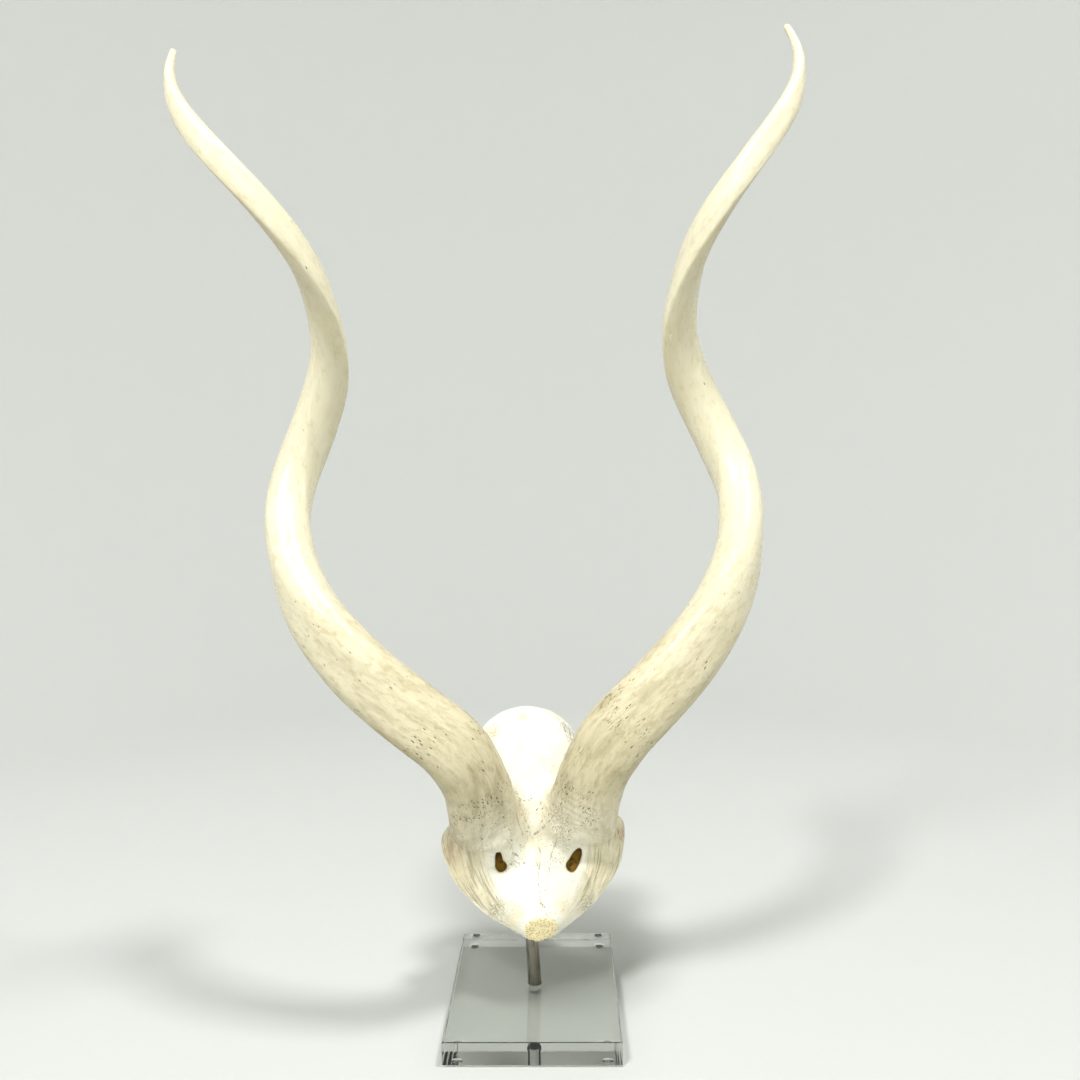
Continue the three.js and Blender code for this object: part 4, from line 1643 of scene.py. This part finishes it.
@dataclass(frozen=True)
class Base:
    """The clear block with polished edges, the post's stepped hole, and four feet in shallow seats."""

    width: float = 150
    depth: float = 200
    height: float = 20
    edge: float = 0.6
    hole_radius: float = 5.6
    hole_depth: float = 16.5
    seat_radius: float = 6.4
    seat_depth: float = 2
    foot_radius: float = 4
    foot_inset: float = 12
    foot_low: float = -1.5
    foot_top: float = 0.3
    foot_gap: float = 0.6
    foot_seat_depth: float = 0.6
    hole_bevel: float = 0.8
    past: float = 5

    def build_block(self) -> bpy.types.Object:
        """Cuts the hole and the feet's seats into the block.

        Returns:
            The finished block.
        """
        shape = bmesh.new()
        bmesh.ops.create_cube(shape, size=1)
        bmesh.ops.scale(shape, vec=Vector((self.width, self.depth, self.height)) * MM, verts=shape.verts)
        bmesh.ops.translate(shape, vec=Vector((0, 0, self.height / 2)) * MM, verts=shape.verts)
        bmesh.ops.bevel(shape, geom=shape.edges[:], offset=self.edge * MM, segments=3, profile=0.5,
                        affect="EDGES")
        mesh = bpy.data.meshes.new("acrylic_block")
        shape.to_mesh(mesh)
        shape.free()
        foot, step = self.height - self.hole_depth, self.height - self.seat_depth
        r, wide, above = self.hole_radius, self.seat_radius, self.height + self.past
        floor = ((0, foot), (r - self.hole_bevel, foot), (r, foot + self.hole_bevel))
        drill = (*floor, (r, step), (wide, step), (wide, above), (0, above))
        block = joined(placed("acrylic_block", mesh), lathe("drill", drill, 96), "DIFFERENCE")
        r = self.foot_radius + self.foot_gap
        for x in (-1, 1):
            for y in (-1, 1):
                at = (x * (self.width / 2 - self.foot_inset), y * (self.depth / 2 - self.foot_inset))
                low, top = -self.past, self.foot_seat_depth
                cutter = ((0, low), (r, low), (r, top), (0, top))
                block = joined(block, lathe("cutter", cutter, 48, at), "DIFFERENCE")
        store(block, "block_place", points_of(block))
        block.data.materials.clear()
        block.data.materials.append(ClearAcrylic().material())
        return block

    def feet_tree(self) -> bpy.types.NodeTree:
        """Builds the tree that sets a copy of one foot at each corner of a grid.

        Returns:
            The tree, whose geometry is one foot.
        """
        tree = node_group("corner_feet", {
            "Width": "NodeSocketFloat", "Depth": "NodeSocketFloat", "Finish": "NodeSocketMaterial",
        })
        given = add_node(tree, "NodeGroupInput").outputs
        corners = add_node(tree, "GeometryNodeMeshGrid", Size_X=given["Width"], Size_Y=given["Depth"],
                           Vertices_X=2, Vertices_Y=2)
        copies = add_node(tree, "GeometryNodeInstanceOnPoints", Points=corners.outputs["Mesh"],
                          Instance=given["Geometry"])
        real = add_node(tree, "GeometryNodeRealizeInstances", Geometry=copies.outputs[0])
        done = add_node(tree, "GeometryNodeSetMaterial", Geometry=real.outputs[0], Material=given["Finish"])
        add_node(tree, "NodeGroupOutput", Geometry=done.outputs[0])
        return tree

    def build_feet(self) -> bpy.types.Object:
        """Moulds one foot and sets it under each corner.

        Returns:
            All four feet as one piece.
        """
        r, low, top = self.foot_radius, self.foot_low, self.foot_top
        bend = [(r - 1 + math.sin(a), low + 1 - math.cos(a)) for a in np.linspace(0, math.pi / 2, 6)]
        one = lathe("one_foot", ((0, low), *bend, (r, top - 0.2), (r - 0.2, top), (0, top)), 48)
        mesh = grown(one, self.feet_tree(), {
            "Width": (self.width - 2 * self.foot_inset) * MM,
            "Depth": (self.depth - 2 * self.foot_inset) * MM,
            "Finish": ClearRubber().material(),
        })
        bpy.data.objects.remove(one)
        feet = placed("clear_feet", mesh)
        store(feet, "foot_place", points_of(feet))
        return feet


@dataclass(frozen=True)
class Post:
    """The steel rod with its turned-down stub, upright in the head's own frame."""

    place: HeadPlace
    radius: float = 6
    stub_radius: float = 4
    stub_length: float = 12.2
    top: float = 114
    block_height: float = 20
    sunk: float = 1.4

    def build(self) -> bpy.types.Object:
        """Turns the rod and stands it in the block's hole.

        Returns:
            The finished post.
        """
        foot = self.place.to_head(np.array([[0, 0, self.block_height]]))[0]
        low = foot[2] - self.sunk
        stub = low - self.stub_length
        r, q = self.radius, self.stub_radius
        profile = (
            (0, stub), (q - 0.8, stub), (q, stub + 0.8), (q, low), (r - 0.3, low), (r, low + 0.3),
            (r, self.top - 1), (r - 1, self.top), (0, self.top),
        )
        rod = lathe("steel_post", profile, 96, (foot[0], foot[1]))
        points = points_of(rod)
        store(rod, "rod_place", points)
        move_points(rod, self.place.to_frame(points))
        rod.data.materials.append(DrawnSteel().material())
        return rod


@dataclass(frozen=True)
class Lamp:
    """A square soft light that looks at the object's middle."""

    name: str
    at: tuple[float, float, float]
    size: float
    watts: float


@dataclass(frozen=True)
class StudioView:
    """The photograph's camera, with plain soft studio light on a pale sweep."""

    camera_at: tuple[float, float, float] = (26.6, -915.1, 491.6)
    pitch: float = 3.89
    turn: float = 1.07
    roll: float = -0.65
    focal_pixels: float = 1023.1
    frame_pixels: float = 1080
    sensor: float = 36
    floor_level: float = -1.5
    bend_radius: float = 1500
    backdrop: float = 2700
    backdrop_height: float = 2600
    paper: str = "c8cac6"
    sky: str = "eceeed"
    sky_strength: float = 0.2
    aim_height: float = 0.4
    lamps: tuple[Lamp, ...] = (
        Lamp("ceiling_left", (-1.1, -1.9, 3.3), 0.65, 94),
        Lamp("ceiling_right", (0.9, -0.4, 3.5), 0.55, 70),
        Lamp("front_fill", (0.2, -2.3, 1.3), 1.2, 8),
    )

    def camera(self) -> None:
        """Places the camera where the photograph was taken from."""
        data = bpy.data.cameras.new("camera")
        data.sensor_fit = "HORIZONTAL"
        data.sensor_width = self.sensor
        data.lens = self.sensor * self.focal_pixels / self.frame_pixels
        pitch, turn, roll = (math.radians(a) for a in (self.pitch, self.turn, self.roll))
        level = math.cos(pitch)
        forward = Vector((-math.sin(turn) * level, math.cos(turn) * level, -math.sin(pitch)))
        right = Vector((math.cos(turn), math.sin(turn), 0))
        up = right.cross(forward)
        tilted = math.cos(roll) * right + math.sin(roll) * up
        upright = -math.sin(roll) * right + math.cos(roll) * up
        camera = placed("camera", data)
        axes = Matrix((tilted, upright, -forward)).transposed().to_4x4()
        camera.matrix_world = Matrix.Translation(Vector(self.camera_at) * MM) @ axes
        bpy.context.scene.camera = camera

    def sweep(self) -> None:
        """Lays a round pale floor that curves up into a backdrop on every side."""
        level, r, back, sides = self.floor_level, self.bend_radius, self.backdrop, 96
        turns = np.linspace(0, math.pi / 2, 24)
        bend = [(back - r + r * math.sin(a), level + r - r * math.cos(a)) for a in turns]
        line = (*bend, (back, self.backdrop_height))
        vertices = rings_of(line, sides) + [(0, 0, level)]
        # All but the upper end's fan, turned to face inwards
        faces = [face[::-1] for face in tube_faces(len(line), sides)[:-sides]]
        floor = mesh_object("pale_sweep", np.array(vertices), faces)
        store(floor, "paper_place", np.array(vertices))
        made = Finish("pale_paper", ("paper_place",), {"tooth": Pattern("paper_place", (9, 9, 9), 4)})
        made.shader.inputs["Base Color"].default_value = linear(self.paper)
        made.paint("Roughness", 0.75, (Coat(0.85, 1, "tooth"),))
        floor.data.materials.append(made.material)

    def light(self, lamp: Lamp) -> None:
        """Hangs one light."""
        data = bpy.data.lights.new(lamp.name, "AREA")
        data.size, data.energy = lamp.size, lamp.watts
        hung = placed(lamp.name, data)
        hung.location = lamp.at
        hung.visible_camera = False
        beam = Vector((0, 0, self.aim_height)) - Vector(lamp.at)
        hung.rotation_euler = beam.to_track_quat("-Z", "Y").to_euler()

    def build(self) -> None:
        """Sets camera, floor, lights and world."""
        self.camera()
        self.sweep()
        for lamp in self.lamps:
            self.light(lamp)
        world = bpy.data.worlds.new("studio")
        world.use_nodes = True
        world.node_tree.nodes["Background"].inputs["Color"].default_value = linear(self.sky)
        world.node_tree.nodes["Background"].inputs["Strength"].default_value = self.sky_strength
        bpy.context.scene.world = world
        bpy.context.scene.view_settings.view_transform = "Standard"


def main() -> None:
    """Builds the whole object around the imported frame."""
    logging.basicConfig(level=logging.INFO, format="%(message)s")
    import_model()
    StudioView().build()
    place = HeadPlace()
    base = Base()
    for piece, slot, nodes in (
        (KuduBone(place, SkullCap(), HornCore()).build(), "bone", BONE_NODES),
        (base.build_block(), "clear_acrylic", ("base_block",)),
        (base.build_feet(), "clear_rubber", FOOT_NODES),
        (Post(place).build(), "post_steel", ("post",)),
    ):
        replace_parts(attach(piece, "root"), *nodes)
        triangles = sum(len(face.vertices) - 2 for face in piece.data.polygons)
        log.info("%s: %d triangles, in the place of %s", piece.name, triangles, ", ".join(nodes))


if __name__ == "__main__":
    main()
